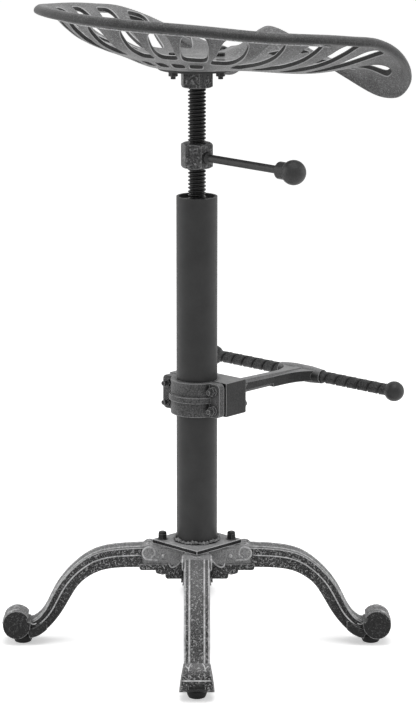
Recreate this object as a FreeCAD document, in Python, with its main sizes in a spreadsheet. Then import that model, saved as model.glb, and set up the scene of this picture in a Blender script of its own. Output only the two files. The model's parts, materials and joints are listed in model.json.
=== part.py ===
import FreeCAD
import Part
import Sketcher
import math
import os

# Tractor seat stool. Millimetres, +Z up. The origin lies on the column axis at
# floor level, +X is the side the sitter faces, +Y is the sitter's left.

V = FreeCAD.Vector
Z_AXIS = V(0, 0, 1)
ORIGIN = V(0, 0, 0)
ROOT_TWO = math.sqrt(2)

os.makedirs("parts", exist_ok=True)
doc = FreeCAD.newDocument("TractorStool")
sheet = doc.addObject("Spreadsheet::Sheet", "dims")


class Size:
    """A driving dimension: its number and the text that finds it in the sheet."""

    def __init__(self, value, text):
        self.value = float(value)
        self.text = text

    def _with(self, sign, other, value):
        right = other.text if isinstance(other, Size) else repr(float(other))
        return Size(value, "(%s %s %s)" % (self.text, sign, right))

    def __add__(self, other):
        return self._with("+", other, self.value + number(other))

    def __sub__(self, other):
        return self._with("-", other, self.value - number(other))

    def __mul__(self, other):
        return self._with("*", other, self.value * number(other))

    def __truediv__(self, other):
        return self._with("/", other, self.value / number(other))

    def __neg__(self):
        return Size(-self.value, "(0 - %s)" % self.text)


def number(item):
    return item.value if isinstance(item, Size) else float(item)


def text_of(item):
    return item.text if isinstance(item, Size) else repr(float(item))


rows_used = [0]


def size(name, value):
    """Write one named dimension into the sheet and hand it back."""
    rows_used[0] += 1
    cell = "A%d" % rows_used[0]
    sheet.set(cell, repr(float(value)))
    sheet.setAlias(cell, name)
    return Size(value, "dims.%s" % name)


# Column
tube_radius = size("tube_radius", 25)
tube_wall = size("tube_wall", 3)
tube_bottom = size("tube_bottom", 132)
tube_top = size("tube_top", 563)
running_fit = size("running_fit", 0.05)
seated_gap = size("seated_gap", 0.05)
bush_height = size("bush_height", 32)
bush_recess = size("bush_recess", 4)

# Height screw and the parts on it
screw_radius = size("screw_radius", 11)
screw_low_end = size("screw_low_end", 420)
stop_radius = size("stop_radius", 19)
stop_thickness = size("stop_thickness", 4)
stop_bolt_radius = size("stop_bolt_radius", 5)
stop_bolt_head = size("stop_bolt_head", 6)
lock_nut_low = size("lock_nut_low", 598)
lock_nut_height = size("lock_nut_height", 30)
lock_nut_corner = size("lock_nut_corner", 20)
lever_turn = size("lever_turn", 0)
lever_level = size("lever_level", 611.5)
lever_rod_radius = size("lever_rod_radius", 4.8)
lever_reach = size("lever_reach", 160.5)
lever_ball_radius = size("lever_ball_radius", 15)
lever_neck_radius = size("lever_neck_radius", 10.5)
lever_boss_radius = size("lever_boss_radius", 7.5)

# Seat mounting
hub_nut_low = size("hub_nut_low", 696)
hub_nut_corner = size("hub_nut_corner", 20.6)
hub_nut_turn = size("hub_nut_turn", -7)
plate_low = size("plate_low", 718)
plate_thickness = size("plate_thickness", 4)
plate_radius = size("plate_radius", 47)
seat_bolt_circle = size("seat_bolt_circle", 40)
small_bolt_radius = size("small_bolt_radius", 3)
small_hole_radius = size("small_hole_radius", 3.3)
small_nut_flats = size("small_nut_flats", 10)
small_nut_height = size("small_nut_height", 5)
cap_nut_height = size("cap_nut_height", 10)

# Seat pan
pan_thickness = size("pan_thickness", 6)
pan_centre_radius = size("pan_centre_radius", 47)
rim_depth = size("rim_depth", 12)

# Base
leg_width = size("leg_width", 30)
panel_width = size("panel_width", 17)
web_width = size("web_width", 28)
hub_top = size("hub_top", 127)
hub_underside = size("hub_underside", 84.7)
scroll_radius = size("scroll_radius", 17)
scroll_out = size("scroll_out", 223.5)
scroll_level = size("scroll_level", 26)
foot_circle = scroll_out - 7
pad_radius = size("pad_radius", 12.2)
pad_tread_radius = size("pad_tread_radius", 9.5)
pad_height = size("pad_height", 9)
flange_side = size("flange_side", 78)
flange_bolt_circle = size("flange_bolt_circle", 42.5)
flange_thickness = size("flange_thickness", 5)
weld_out = size("weld_out", 31)
weld_up = size("weld_up", 5)

# Footrest
footrest_turn = size("footrest_turn", 2.7)
clamp_level = size("clamp_level", 315.5)
clamp_height = size("clamp_height", 42)
collar_wall = size("collar_wall", 7)
ear_reach = size("ear_reach", 46.5)
ear_thickness = size("ear_thickness", 9)
split_gap = size("split_gap", 3.5)
clamp_bolt_out = size("clamp_bolt_out", 37)
clamp_bolt_up = size("clamp_bolt_up", 12)
block_depth = size("block_depth", 41)
arm_width = size("arm_width", 16)
arm_height = size("arm_height", 17)
bar_out = size("bar_out", 198)
bar_level = size("bar_level", 309)
bar_radius = size("bar_radius", 7.8)
bar_half_length = size("bar_half_length", 146)
ball_radius = size("ball_radius", 12.5)
ball_out = size("ball_out", 150)
sleeve_half_length = size("sleeve_half_length", 34)
sleeve_wall = size("sleeve_wall", 2.8)
clamp_bolt_radius = size("clamp_bolt_radius", 3)
clamp_bolt_end = size("clamp_bolt_end", 21)

doc.recompute()

nodes = []


def register(item, name):
    """Give a finished sub-part its node name and put it on the export list."""
    item.Label = name
    nodes.append((item, name))
    return item


def new_body(name):
    return register(doc.addObject("PartDesign::Body", name + "_body"), name)


def one_of(name, label):
    """A body that is one of several alike, gathered later by gathered()."""
    body = doc.addObject("PartDesign::Body", name + "_" + label)
    body.Label = name + "_" + label
    return body


def gathered(name, bodies):
    """One node made of several alike bodies."""
    group = doc.addObject("Part::Compound", name + "_set")
    group.Links = bodies
    doc.recompute()
    return register(group, name)


def origin_plane(body, role):
    for feature in body.Origin.OriginFeatures:
        if feature.Role == role:
            return feature
    raise ValueError(role)


def new_sketch(body, role, name):
    sketch = body.newObject("Sketcher::SketchObject", name)
    sketch.AttachmentSupport = (origin_plane(body, role), [""])
    sketch.MapMode = "FlatFace"
    return sketch


def bind(sketch, constraint, label, item):
    """Add a constraint and tie its value to the sheet."""
    index = sketch.addConstraint(constraint)
    sketch.renameConstraint(index, label)
    sketch.setExpression("Constraints." + label, text_of(item))


def add_circle(sketch, label, radius, across=0, up=0):
    """A circle whose radius and centre follow the sheet."""
    centre = V(number(across), number(up), 0)
    index = sketch.addGeometry(Part.Circle(centre, Z_AXIS, number(radius)), False)
    bind(sketch, Sketcher.Constraint("Radius", index, number(radius)), label + "_radius", radius)
    bind(sketch, Sketcher.Constraint("DistanceX", -1, 1, index, 3, centre.x), label + "_across", across)
    bind(sketch, Sketcher.Constraint("DistanceY", -1, 1, index, 3, centre.y), label + "_up", up)


def add_outline(sketch, label, corners):
    """A closed outline whose corners follow the sheet."""
    count = len(corners)
    points = [V(number(across), number(up), 0) for across, up in corners]
    lines = []
    for index in range(count):
        segment = Part.LineSegment(points[index], points[(index + 1) % count])
        lines.append(sketch.addGeometry(segment, False))
    for index in range(count):
        after = lines[(index + 1) % count]
        sketch.addConstraint(Sketcher.Constraint("Coincident", lines[index], 2, after, 1))
    for index, (across, up) in enumerate(corners):
        spot = "%s%d" % (label, index)
        line = lines[index]
        bind(sketch, Sketcher.Constraint("DistanceX", -1, 1, line, 1, number(across)), spot + "x", across)
        bind(sketch, Sketcher.Constraint("DistanceY", -1, 1, line, 1, number(up)), spot + "y", up)


def pad(body, sketch, name, length, both_ways=False):
    feature = body.newObject("PartDesign::Pad", name)
    feature.Profile = sketch
    feature.setExpression("Length", text_of(length))
    if both_ways:
        feature.Midplane = True
    doc.recompute()
    return feature


def pocket(body, sketch, name, length, reverse=False, both_ways=False):
    feature = body.newObject("PartDesign::Pocket", name)
    feature.Profile = sketch
    feature.setExpression("Length", text_of(length))
    feature.Reversed = reverse
    if both_ways:
        feature.Midplane = True
    doc.recompute()
    return feature


def turned(body, corners, name, cut=False):
    """Turn an outline, given as radius and height, about the body's Z axis."""
    sketch = new_sketch(body, "XZ_Plane", name + "_outline")
    add_outline(sketch, "p", corners)
    doc.recompute()
    kind = "PartDesign::Groove" if cut else "PartDesign::Revolution"
    feature = body.newObject(kind, name)
    feature.Profile = sketch
    feature.ReferenceAxis = (sketch, ["V_Axis"])
    feature.Angle = 360
    doc.recompute()
    return feature


def add_ball(body, name, radius, level):
    """A ball on the body's Z axis, made by turning half a disc."""
    sketch = new_sketch(body, "XZ_Plane", name + "_half_disc")
    centre = V(0, number(level), 0)
    circle = Part.Circle(centre, Z_AXIS, number(radius))
    arc = sketch.addGeometry(Part.ArcOfCircle(circle, -math.pi / 2, math.pi / 2), False)
    lowest = V(0, number(level) - number(radius), 0)
    highest = V(0, number(level) + number(radius), 0)
    line = sketch.addGeometry(Part.LineSegment(highest, lowest), False)
    sketch.addConstraint(Sketcher.Constraint("Coincident", arc, 2, line, 1))
    sketch.addConstraint(Sketcher.Constraint("Coincident", arc, 1, line, 2))
    sketch.addConstraint(Sketcher.Constraint("Vertical", line))
    bind(sketch, Sketcher.Constraint("Radius", arc, number(radius)), "ball_radius", radius)
    bind(sketch, Sketcher.Constraint("DistanceX", -1, 1, arc, 3, 0.0), "ball_across", 0)
    bind(sketch, Sketcher.Constraint("DistanceY", -1, 1, arc, 3, number(level)), "ball_level", level)
    doc.recompute()
    feature = body.newObject("PartDesign::Revolution", name)
    feature.Profile = sketch
    feature.ReferenceAxis = (sketch, ["V_Axis"])
    feature.Angle = 360
    doc.recompute()
    return feature


def place(item, position=ORIGIN, axis=Z_AXIS, degrees=0):
    item.Placement = FreeCAD.Placement(position, FreeCAD.Rotation(axis, degrees))


def hexagon(corner_radius):
    """Corner points of a hexagon, the first one on the across axis."""
    half = corner_radius * 0.5
    tall = corner_radius * (math.sqrt(3) / 2)
    return [
        (corner_radius, 0), (half, tall), (-half, tall),
        (-corner_radius, 0), (-half, -tall), (half, -tall),
    ]


def hexagon_nut(name, corner_radius, height, bore, chamfer):
    """A hexagon nut on the body's Z axis with turned chamfers at both ends."""
    body = new_body(name)
    sketch = new_sketch(body, "XY_Plane", name + "_hexagon")
    add_outline(sketch, "h", hexagon(corner_radius))
    doc.recompute()
    pad(body, sketch, name + "_block", height)
    lean = chamfer * 0.55
    low = [
        (corner_radius - chamfer, 0), (corner_radius + 1, 0),
        (corner_radius + 1, lean), (corner_radius, lean),
    ]
    high = [
        (corner_radius - chamfer, height), (corner_radius, height - lean),
        (corner_radius + 1, height - lean), (corner_radius + 1, height),
    ]
    turned(body, low, name + "_low_chamfer", cut=True)
    turned(body, high, name + "_high_chamfer", cut=True)
    hole = new_sketch(body, "XY_Plane", name + "_bore")
    add_circle(hole, "bore", bore)
    doc.recompute()
    pocket(body, hole, name + "_bore_cut", height, reverse=True)
    return body


def solid_feature(name, shape):
    """A sub-part whose shape comes from Part operations."""
    feature = doc.addObject("Part::Feature", name + "_solid")
    feature.Shape = shape
    return register(feature, name)


def cylinder(radius, height, base=ORIGIN, direction=Z_AXIS):
    return Part.makeCylinder(number(radius), number(height), base, direction)


def hex_prism(flats, height, base, direction=Z_AXIS, turn=0):
    """A plain hexagonal prism, used for small nuts and bolt heads."""
    corner = number(flats) / math.sqrt(3)
    points = []
    for index in range(7):
        angle = math.radians(60 * index + turn)
        points.append(V(corner * math.cos(angle), corner * math.sin(angle), 0))
    prism = Part.Face(Part.makePolygon(points)).extrude(V(0, 0, number(height)))
    prism.Placement = FreeCAD.Placement(base, FreeCAD.Rotation(Z_AXIS, direction))
    return prism


def around(radius, degrees, height=0):
    angle = math.radians(degrees)
    return V(number(radius) * math.cos(angle), number(radius) * math.sin(angle), number(height))


# Column tube: a plain round tube standing on the flange.
tube = new_body("column_tube")
tube_ring = new_sketch(tube, "XY_Plane", "tube_ring")
add_circle(tube_ring, "outer", tube_radius)
add_circle(tube_ring, "inner", tube_radius - tube_wall)
pad(tube, tube_ring, "tube_length", tube_top - tube_bottom)
place(tube, V(0, 0, tube_bottom.value))

# Threaded bush let into the mouth of the tube.
bush = new_body("thread_bush")
bush_outer = tube_radius - tube_wall - seated_gap
bush_inner = screw_radius + running_fit
turned(bush, [
    (bush_inner + 1.5, 0), (bush_outer - 1, 0), (bush_outer, 1), (bush_outer, bush_height),
    (bush_inner + 1.5, bush_height), (bush_inner, bush_height - 1.5), (bush_inner, 1.5),
], "bush_turning")
place(bush, V(0, 0, tube_top.value - bush_recess.value - bush_height.value))

# Weld bead at the foot of the tube.
weld = new_body("base_weld")
weld_inner = tube_radius + seated_gap
turned(weld, [
    (weld_inner, 0), (weld_out, 0), (weld_out - 1.2, weld_up * 0.5), (weld_inner, weld_up),
], "weld_turning")
place(weld, V(0, 0, tube_bottom.value))

# Square flange plate with two bolt holes on one diagonal.
flange = new_body("base_flange")
flange_square = new_sketch(flange, "XY_Plane", "flange_square")
half_side = flange_side / 2
add_outline(flange_square, "c", [
    (half_side, half_side), (-half_side, half_side),
    (-half_side, -half_side), (half_side, -half_side),
])
pad(flange, flange_square, "flange_sheet", flange_thickness)
flange_holes = new_sketch(flange, "XY_Plane", "flange_holes")
hole_offset = flange_bolt_circle / ROOT_TWO
add_circle(flange_holes, "left", small_hole_radius, -hole_offset, hole_offset)
add_circle(flange_holes, "right", small_hole_radius, hole_offset, -hole_offset)
pocket(flange, flange_holes, "flange_drilling", flange_thickness, reverse=True)
place(flange, V(0, 0, hub_top.value))

# Height screw, its stop washer and the bolt that holds the washer.
screw = new_body("height_screw")
screw_high_end = plate_low - 1
turned(screw, [
    (0, 0), (screw_radius - 2, 0), (screw_radius, 2),
    (screw_radius, screw_high_end - screw_low_end), (0, screw_high_end - screw_low_end),
], "screw_turning")
screw_tap = new_sketch(screw, "XY_Plane", "screw_tap")
add_circle(screw_tap, "tap", stop_bolt_radius + seated_gap)
doc.recompute()
pocket(screw, screw_tap, "screw_tapping", 26, reverse=True)
place(screw, V(0, 0, screw_low_end.value))

washer = new_body("stop_washer")
washer_ring = new_sketch(washer, "XY_Plane", "washer_ring")
add_circle(washer_ring, "outer", stop_radius)
add_circle(washer_ring, "inner", stop_bolt_radius + 0.5)
pad(washer, washer_ring, "washer_sheet", stop_thickness)
washer_level = screw_low_end.value - stop_thickness.value - 0.5
place(washer, V(0, 0, washer_level))

stop_bolt = new_body("stop_bolt")
head_sketch = new_sketch(stop_bolt, "XY_Plane", "stop_head_hexagon")
add_outline(head_sketch, "h", hexagon(stop_bolt_radius * 1.9))
doc.recompute()
pad(stop_bolt, head_sketch, "stop_head", stop_bolt_head)
shank_sketch = new_sketch(stop_bolt, "XY_Plane", "stop_shank_circle")
add_circle(shank_sketch, "shank", stop_bolt_radius)
doc.recompute()
pad(stop_bolt, shank_sketch, "stop_shank", stop_bolt_head + stop_thickness + 25)
place(stop_bolt, V(0, 0, washer_level - stop_bolt_head.value - 0.5))

# Seat nut under the pan and the round mounting plate on it.
hub_nut = hexagon_nut(
    "seat_hub_nut", hub_nut_corner, plate_low - hub_nut_low, screw_radius + seated_gap, hub_nut_corner * 0.14)
place(hub_nut, V(0, 0, hub_nut_low.value), Z_AXIS, hub_nut_turn.value)

mount_plate = new_body("seat_mount_plate")
mount_disc = new_sketch(mount_plate, "XY_Plane", "mount_disc")
add_circle(mount_disc, "edge", plate_radius)
for index, (across, up) in enumerate(((1, 0), (0, 1), (-1, 0), (0, -1))):
    add_circle(mount_disc, "bolt%d" % index, small_hole_radius, seat_bolt_circle * across, seat_bolt_circle * up)
pad(mount_plate, mount_disc, "mount_sheet", plate_thickness)
place(mount_plate, V(0, 0, plate_low.value))

# Lock nut with its cross lever and round grip.
lock_nut = hexagon_nut(
    "lock_nut", lock_nut_corner, lock_nut_height, screw_radius + running_fit, lock_nut_corner * 0.16)
lever_hole = new_sketch(lock_nut, "XZ_Plane", "lever_hole_circle")
lever_up = lever_level - lock_nut_low
add_circle(lever_hole, "lever", lever_rod_radius + seated_gap, 0, lever_up)
doc.recompute()
pocket(lock_nut, lever_hole, "lever_hole_cut", 30, reverse=True)
flat_distance = lock_nut_corner * (math.sqrt(3) / 2)
place(lock_nut, V(0, 0, lock_nut_low.value), Z_AXIS, lever_turn.value)

# Lever: one turned piece, a rod with a collar against the nut and a ball on a neck.
lever = new_body("lock_lever")
rod_start = screw_radius + 1.2
neck_low = lever_reach - lever_ball_radius * 1.55
turned(lever, [
    (0, rod_start), (lever_rod_radius, rod_start), (lever_rod_radius, flat_distance + 0.2),
    (lever_boss_radius, flat_distance + 0.2), (lever_boss_radius, flat_distance + 3),
    (lever_rod_radius, flat_distance + 5), (lever_rod_radius, neck_low), (lever_neck_radius - 1, neck_low),
    (lever_neck_radius, neck_low + 1), (lever_neck_radius, lever_reach - 2), (0, lever_reach - 2),
], "lever_turning")
add_ball(lever, "lever_ball", lever_ball_radius, lever_reach)
lever_heading = FreeCAD.Rotation(Z_AXIS, around(1, lever_turn.value - 90))
lever.Placement = FreeCAD.Placement(V(0, 0, lever_level.value), lever_heading)

# Foot pads: four turned pads, each held by a screw through its middle.
foot_angles = (("front_left", 45), ("rear_left", 135), ("rear_right", -135), ("front_right", -45))
screw_head_radius = 5
foot_pads = []
for label, angle in foot_angles:
    foot_pad = one_of("foot_pad", label)
    turned(foot_pad, [
        (3.3, 4.5), (screw_head_radius + 0.8, 4.5), (screw_head_radius + 0.8, 0), (pad_tread_radius - 1.2, 0),
        (pad_tread_radius + 0.6, 0.8), (pad_radius - 0.8, 3.6), (pad_radius, pad_height - 2.4),
        (pad_radius, pad_height), (3.3, pad_height),
    ], "pad_turning_" + label)
    place(foot_pad, around(foot_circle, angle), Z_AXIS, angle)
    foot_pads.append(foot_pad)
gathered("foot_pads", foot_pads)

pad_screw_solids = []
for label, angle in foot_angles:
    spot = around(foot_circle, angle, 1.5)
    shank = cylinder(2.5, 17.5, spot)
    head = cylinder(screw_head_radius, 3, spot)
    pad_screw_solids.append(shank.fuse(head).removeSplitter())
solid_feature("pad_screws", Part.makeCompound(pad_screw_solids))

# Base casting: four cabriole legs on one hub. Each pair below is the underside
# and the top of a leg, as shares of the reach to the scroll and of the hub's height.
leg_stations = (
    ((0.000, 0.787), (0.000, 0.992)),
    ((0.179, 0.787), (0.179, 0.992)),
    ((0.349, 0.787), (0.349, 0.980)),
    ((0.452, 0.779), (0.470, 0.962)),
    ((0.528, 0.754), (0.575, 0.912)),
    ((0.588, 0.705), (0.655, 0.820)),
    ((0.643, 0.630), (0.726, 0.694)),
    ((0.686, 0.527), (0.779, 0.562)),
    ((0.725, 0.406), (0.816, 0.433)),
    ((0.763, 0.299), (0.851, 0.324)),
    ((0.810, 0.197), (0.889, 0.255)),
    ((0.864, 0.115), (0.926, 0.228)),
    ((0.926, 0.076), (0.962, 0.236)),
)


def leg_curve(share, lift=0):
    """The line along the leg at a share of its depth, zero at the underside."""
    points = []
    for under, over in leg_stations:
        start = V(under[0] * scroll_out.value, 0, under[1] * hub_top.value)
        across = over[0] * scroll_out.value - start.x
        up = over[1] * hub_top.value - start.z
        reach = share + lift / math.hypot(across, up)
        points.append(start + V(across * reach, 0, up * reach))
    curve = Part.BSplineCurve()
    curve.interpolate(points)
    return curve


def leg_slab(low_share, high_share, width, high_lift=0):
    """Part of the leg between two such lines, extruded across its width."""
    low = leg_curve(low_share)
    high = leg_curve(high_share, high_lift)
    low_edge = low.toShape()
    high_edge = high.toShape()
    inner = Part.LineSegment(low.StartPoint, high.StartPoint).toShape()
    outer = Part.LineSegment(low.EndPoint, high.EndPoint).toShape()
    face = Part.Face(Part.Wire([low_edge, outer, high_edge, inner]))
    face.translate(V(0, -number(width) / 2, 0))
    return face.extrude(V(0, number(width), 0))


def box_between(low, high):
    return Part.makeBox(high.x - low.x, high.y - low.y, high.z - low.z, low)


def plan_prism(points, low, high):
    """An upright prism over a plan outline."""
    corners = [V(x, y, low) for x, y in points]
    corners.append(corners[0])
    return Part.Face(Part.makePolygon(corners)).extrude(V(0, 0, high - low))


def front_prism(points, start, end):
    """A prism along X over an outline given across and up."""
    corners = [V(start, y, z) for y, z in points]
    corners.append(corners[0])
    return Part.Face(Part.makePolygon(corners)).extrude(V(end - start, 0, 0))


half_width = leg_width.value / 2
leg = leg_slab(0, 0.97, web_width)
leg = leg.fuse(leg_slab(0.62, 0.97, leg_width))
leg = leg.fuse(leg_slab(0.5, 1, panel_width))

# Scroll foot: a roll that widens towards the floor, with a groove behind it.
foot_out = scroll_out.value
foot_up = scroll_level.value
roll_half = 22
roll = cylinder(scroll_radius, 2 * roll_half, V(foot_out, -roll_half, foot_up), V(0, 1, 0))
roll_taper = front_prism([(-15.2, 46), (15.2, 46), (21.2, 8), (-21.2, 8)], foot_out - 34, foot_out + 27)
roll = roll.common(roll_taper)
toe = front_prism([(-15, 30), (15, 30), (19.5, 8), (-19.5, 8)], foot_out - 37.5, foot_out - 1.5)
toe = toe.common(leg_slab(0, 0.55, 44))
leg = leg.fuse(roll).fuse(toe)
roll_groove = cylinder(3.2, 50, V(foot_out - 15.9, -25, foot_up + 6.4), V(0, 1, 0))
leg = leg.cut(roll_groove)
dent = front_prism([(-9, 24), (9, 24), (11.5, 6), (-11.5, 6)], foot_out + 13.5, foot_out + 21.5)
leg = leg.cut(dent)

# Hub part of one leg: rounded steps underneath and a scroll with a leaf on both sides.
hub_steps = ((39, hub_underside.value + 0.5), (51, hub_underside.value + 7), (71, hub_underside.value + 11.5))
for reach, underside in hub_steps:
    step = box_between(V(0, -half_width, underside), V(reach, half_width, 104))
    nosing = [edge for edge in step.Edges
              if edge.BoundBox.XMin > reach - 1e-6 and edge.BoundBox.ZMax < underside + 1e-6]
    leg = leg.fuse(step.makeFillet(3.4, nosing))
leg = leg.fuse(box_between(V(0, -half_width, 108), V(46, half_width, hub_top.value)))
leaf_outline = (
    (13, 123.5), (58, 124), (58, 110), (47.4, 109.4), (42, 113), (38, 114.5), (36, 114), (34.5, 105),
    (31.2, 100.5), (27, 101.5), (22.4, 105), (16.2, 114), (13, 118),
)
for side in (-1, 1):
    volute = cylinder(8.3, 2.4, V(59, side * half_width, 117), V(0, side, 0))
    leg = leg.fuse(volute)
    corners = [V(across, side * half_width, up) for across, up in leaf_outline]
    leaf_face = Part.Face(Part.makePolygon(corners + corners[:1]))
    leg = leg.fuse(leaf_face.extrude(V(0, side * 1.8, 0)))
leg = leg.removeSplitter()

base_shape = None
for label, angle in foot_angles:
    turned_leg = leg.copy()
    turned_leg.rotate(ORIGIN, Z_AXIS, angle)
    base_shape = turned_leg if base_shape is None else base_shape.fuse(turned_leg)
base_cuts = []
for label, angle in foot_angles:
    base_cuts.append(cylinder(pad_radius.value + 2, 9, around(foot_circle, angle, 0)))
    base_cuts.append(cylinder(2.9, 16, around(foot_circle, angle, 5)))
for angle in (135, -45):
    base_cuts.append(cylinder(small_hole_radius, 60, around(flange_bolt_circle, angle, 75)))
    base_cuts.append(cylinder(7, 12, around(flange_bolt_circle, angle, hub_steps[1][1] - 12)))
base_shape = base_shape.cut(Part.makeCompound(base_cuts)).removeSplitter()
solid_feature("base_casting", base_shape)

# Flange bolts come up through the hub, with a tall cap nut on top of the plate.
flange_bolt_solids = []
flange_nut_solids = []
flange_top = hub_top.value + flange_thickness.value
for angle in (135, -45):
    foot = around(flange_bolt_circle, angle, hub_steps[1][1] - 4)
    head = hex_prism(small_nut_flats, 4, foot, Z_AXIS, angle + 30)
    shank = cylinder(small_bolt_radius, flange_top + cap_nut_height.value - 3 - foot.z, foot)
    flange_bolt_solids.append(head.fuse(shank).removeSplitter())
    seat = around(flange_bolt_circle, angle, flange_top)
    nut = hex_prism(small_nut_flats, cap_nut_height - 3, seat, Z_AXIS, angle + 30)
    nut = nut.fuse(cylinder(5.9, 1, seat))
    cap = cylinder(small_nut_flats / 2 - 0.2, cap_nut_height, seat)
    nut = nut.fuse(cap.makeFillet(1.6, [edge for edge in cap.Edges if edge.BoundBox.ZMin > seat.z + 1]))
    bore_depth = cap_nut_height.value - 2.5
    flange_nut_solids.append(nut.cut(cylinder(small_bolt_radius + seated_gap, bore_depth, seat)))
solid_feature("flange_bolts", Part.makeCompound(flange_bolt_solids))
solid_feature("flange_nuts", Part.makeCompound(flange_nut_solids))

# Seat pan: a cast bowl with two thigh lobes that roll down and a raised front
# point between them. Each station is an angle from the front, the radius of the
# edge, the height the bowl rises to there, the drop of the edge below that and
# the sag of the floor between centre and edge.
pan_stations = (
    (0, 130, 42, 2, 0), (10, 141, 36, 6, 0), (18, 165, 24, 19, 1), (25, 197, 14, 32, 3), (32, 228, 10, 46, 6),
    (38, 247, 12, 48, 9), (44, 258, 20, 42, 12), (51, 263, 30, 29, 14), (60, 253, 42, 13, 14), (70, 239, 50, 2, 12),
    (80, 227, 55, 0, 9), (90, 217, 60, 0, 6), (110, 204, 67, 0, 1), (135, 191, 76, 0, 0), (160, 181, 79, 0, 0),
    (180, 177, 79, 0, 0),
)
bowl_steps = ((0, 0), (0.1, 0.02), (0.32, 0.2), (0.47, 0.31), (0.63, 0.46), (0.74, 0.64), (0.81, 0.79),
              (0.88, 0.9), (1, 1))
pan_base = plate_low.value + plate_thickness.value + pan_thickness.value


def smooth_between(table, position, column):
    """Read a column of a table at any position along a smooth curve."""
    last = len(table) - 1
    index = 0
    while index < last - 1 and position > table[index + 1][0]:
        index += 1
    start, end = table[index], table[index + 1]
    span = end[0] - start[0]
    slopes = []
    for here in (index, index + 1):
        if here in (0, last):
            slopes.append(0)
        else:
            before, after = table[here - 1], table[here + 1]
            slopes.append(span * (after[column] - before[column]) / (after[0] - before[0]))
    t = (position - start[0]) / span
    return (
        start[column] * (2 * t ** 3 - 3 * t ** 2 + 1) + slopes[0] * (t ** 3 - 2 * t ** 2 + t)
        + end[column] * (3 * t ** 2 - 2 * t ** 3) + slopes[1] * (t ** 3 - t ** 2)
    )


def pan_point(share, degrees):
    """Upper face of the pan at a share of the way from centre disc to edge."""
    turn = abs(degrees)
    edge = smooth_between(pan_stations, turn, 1)
    rise = smooth_between(pan_stations, turn, 2)
    drop = smooth_between(pan_stations, turn, 3)
    sag = smooth_between(pan_stations, turn, 4)
    start = pan_centre_radius.value
    lobe = min(1, drop / 30)
    outward = share * (1 - 0.02 * lobe * share ** 5)
    radius = start + (edge - start) * outward
    bowl = smooth_between(bowl_steps, share, 1)
    height = (rise - 8) * bowl - drop * share ** 7 - sag * math.sin(math.pi * share ** 0.8) ** 2
    angle = math.radians(degrees)
    return V(radius * math.cos(angle), radius * math.sin(angle), pan_base + height)


def pan_normal(share, degrees):
    """Upward normal of the upper face."""
    low = max(0, share - 0.01)
    high = min(1, share + 0.01)
    along = pan_point(high, degrees) - pan_point(low, degrees)
    beside = pan_point(share, degrees + 1) - pan_point(share, degrees - 1)
    normal = along.cross(beside)
    normal.normalize()
    return normal if normal.z > 0 else -normal


def rim_fade(degrees):
    """One round the back of the rim and nought along the front of the lobes."""
    share = min(1, max(0, (abs(degrees) - 40) / 24))
    return share * share * (3 - 2 * share)


def pan_ring(share, depth, outward=0):
    """A ring of points at a depth under the upper face, moved outwards.

    Where the rim fades out, a ring deeper than the plain pan rises to it."""
    turns = [station[0] for station in pan_stations]
    ring = []
    for degrees in [-turn for turn in reversed(turns)] + turns[1:]:
        inside = min(max(degrees, -179.9), 179.9)
        normal = pan_normal(share, inside) if share > 0 else Z_AXIS
        extra = max(0, depth - plain) * rim_fade(degrees)
        heading = around(1, degrees)
        side = heading - normal * heading.dot(normal)
        side.normalize()
        ring.append(pan_point(share, inside) - normal * (min(depth, plain) + extra) + side * outward)
    ring[-1] = ring[0]
    return ring


def pan_skin(shares, depth):
    """A smooth skin over the pan at one depth."""
    skin = Part.BSplineSurface()
    skin.interpolate([pan_ring(share, depth) for share in shares])
    return skin.toShape()


def pan_loop(share, depth, outward):
    """A closed curve round the rim."""
    curve = Part.BSplineCurve()
    curve.interpolate(pan_ring(share, depth, outward))
    return curve.toShape()


def round_edges(face):
    """The closed edges of a skin, the inner one first."""
    return sorted([edge for edge in face.Edges if edge.isClosed()], key=lambda edge: edge.Length)


plain = pan_thickness.value
rim = rim_depth.value
upper_skin = pan_skin((0, 0.14, 0.32, 0.5, 0.66, 0.8, 0.9, 0.985), 0)
lower_skin = pan_skin((0, 0.14, 0.32, 0.5, 0.66, 0.8, 0.94), plain)
rim_loops = [
    round_edges(upper_skin)[1], pan_loop(1, 1.6, 0.6), pan_loop(1, rim - 1.4, 0.8), pan_loop(0.975, rim, 0),
    pan_loop(0.952, rim - 0.6, 0), round_edges(lower_skin)[1],
]
pan_faces = [upper_skin, lower_skin, Part.makeRuledSurface(round_edges(upper_skin)[0], round_edges(lower_skin)[0])]
for loop, next_loop in zip(rim_loops, rim_loops[1:]):
    pan_faces.append(Part.makeRuledSurface(loop, next_loop))
pan_shell = Part.makeShell(pan_faces)
pan_shell.sewShape()
pan_shape = Part.makeSolid(Part.Shell(pan_shell.Faces))
if pan_shape.Volume < 0:
    pan_shape.reverse()
centre_disc = cylinder(pan_centre_radius.value + 3, plain + 1.2, V(0, 0, pan_base - plain))
pan_shape = pan_shape.fuse(centre_disc)


def slot_cutter(outer_point, inward, length, outer_width, inner_width):
    """An upright cutter with rounded corners that runs inwards from a point."""
    outline = plan_prism([
        (0, -outer_width / 2), (length, -inner_width / 2), (length, inner_width / 2), (0, outer_width / 2),
    ], pan_base - 90, pan_base + 110)
    for end, width in ((0, outer_width), (length, inner_width)):
        corners = []
        for edge in outline.Edges:
            start, stop = edge.Vertexes[0].Point, edge.Vertexes[-1].Point
            upright = abs(start.z - stop.z) > 1
            if upright and abs(start.x - end) < 1e-6 and abs(stop.x - end) < 1e-6:
                corners.append(edge)
        outline = outline.makeFillet(width * 0.38, corners)
    outline.rotate(ORIGIN, Z_AXIS, math.degrees(math.atan2(inward.y, inward.x)))
    outline.translate(V(outer_point.x, outer_point.y, 0))
    return outline


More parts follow.
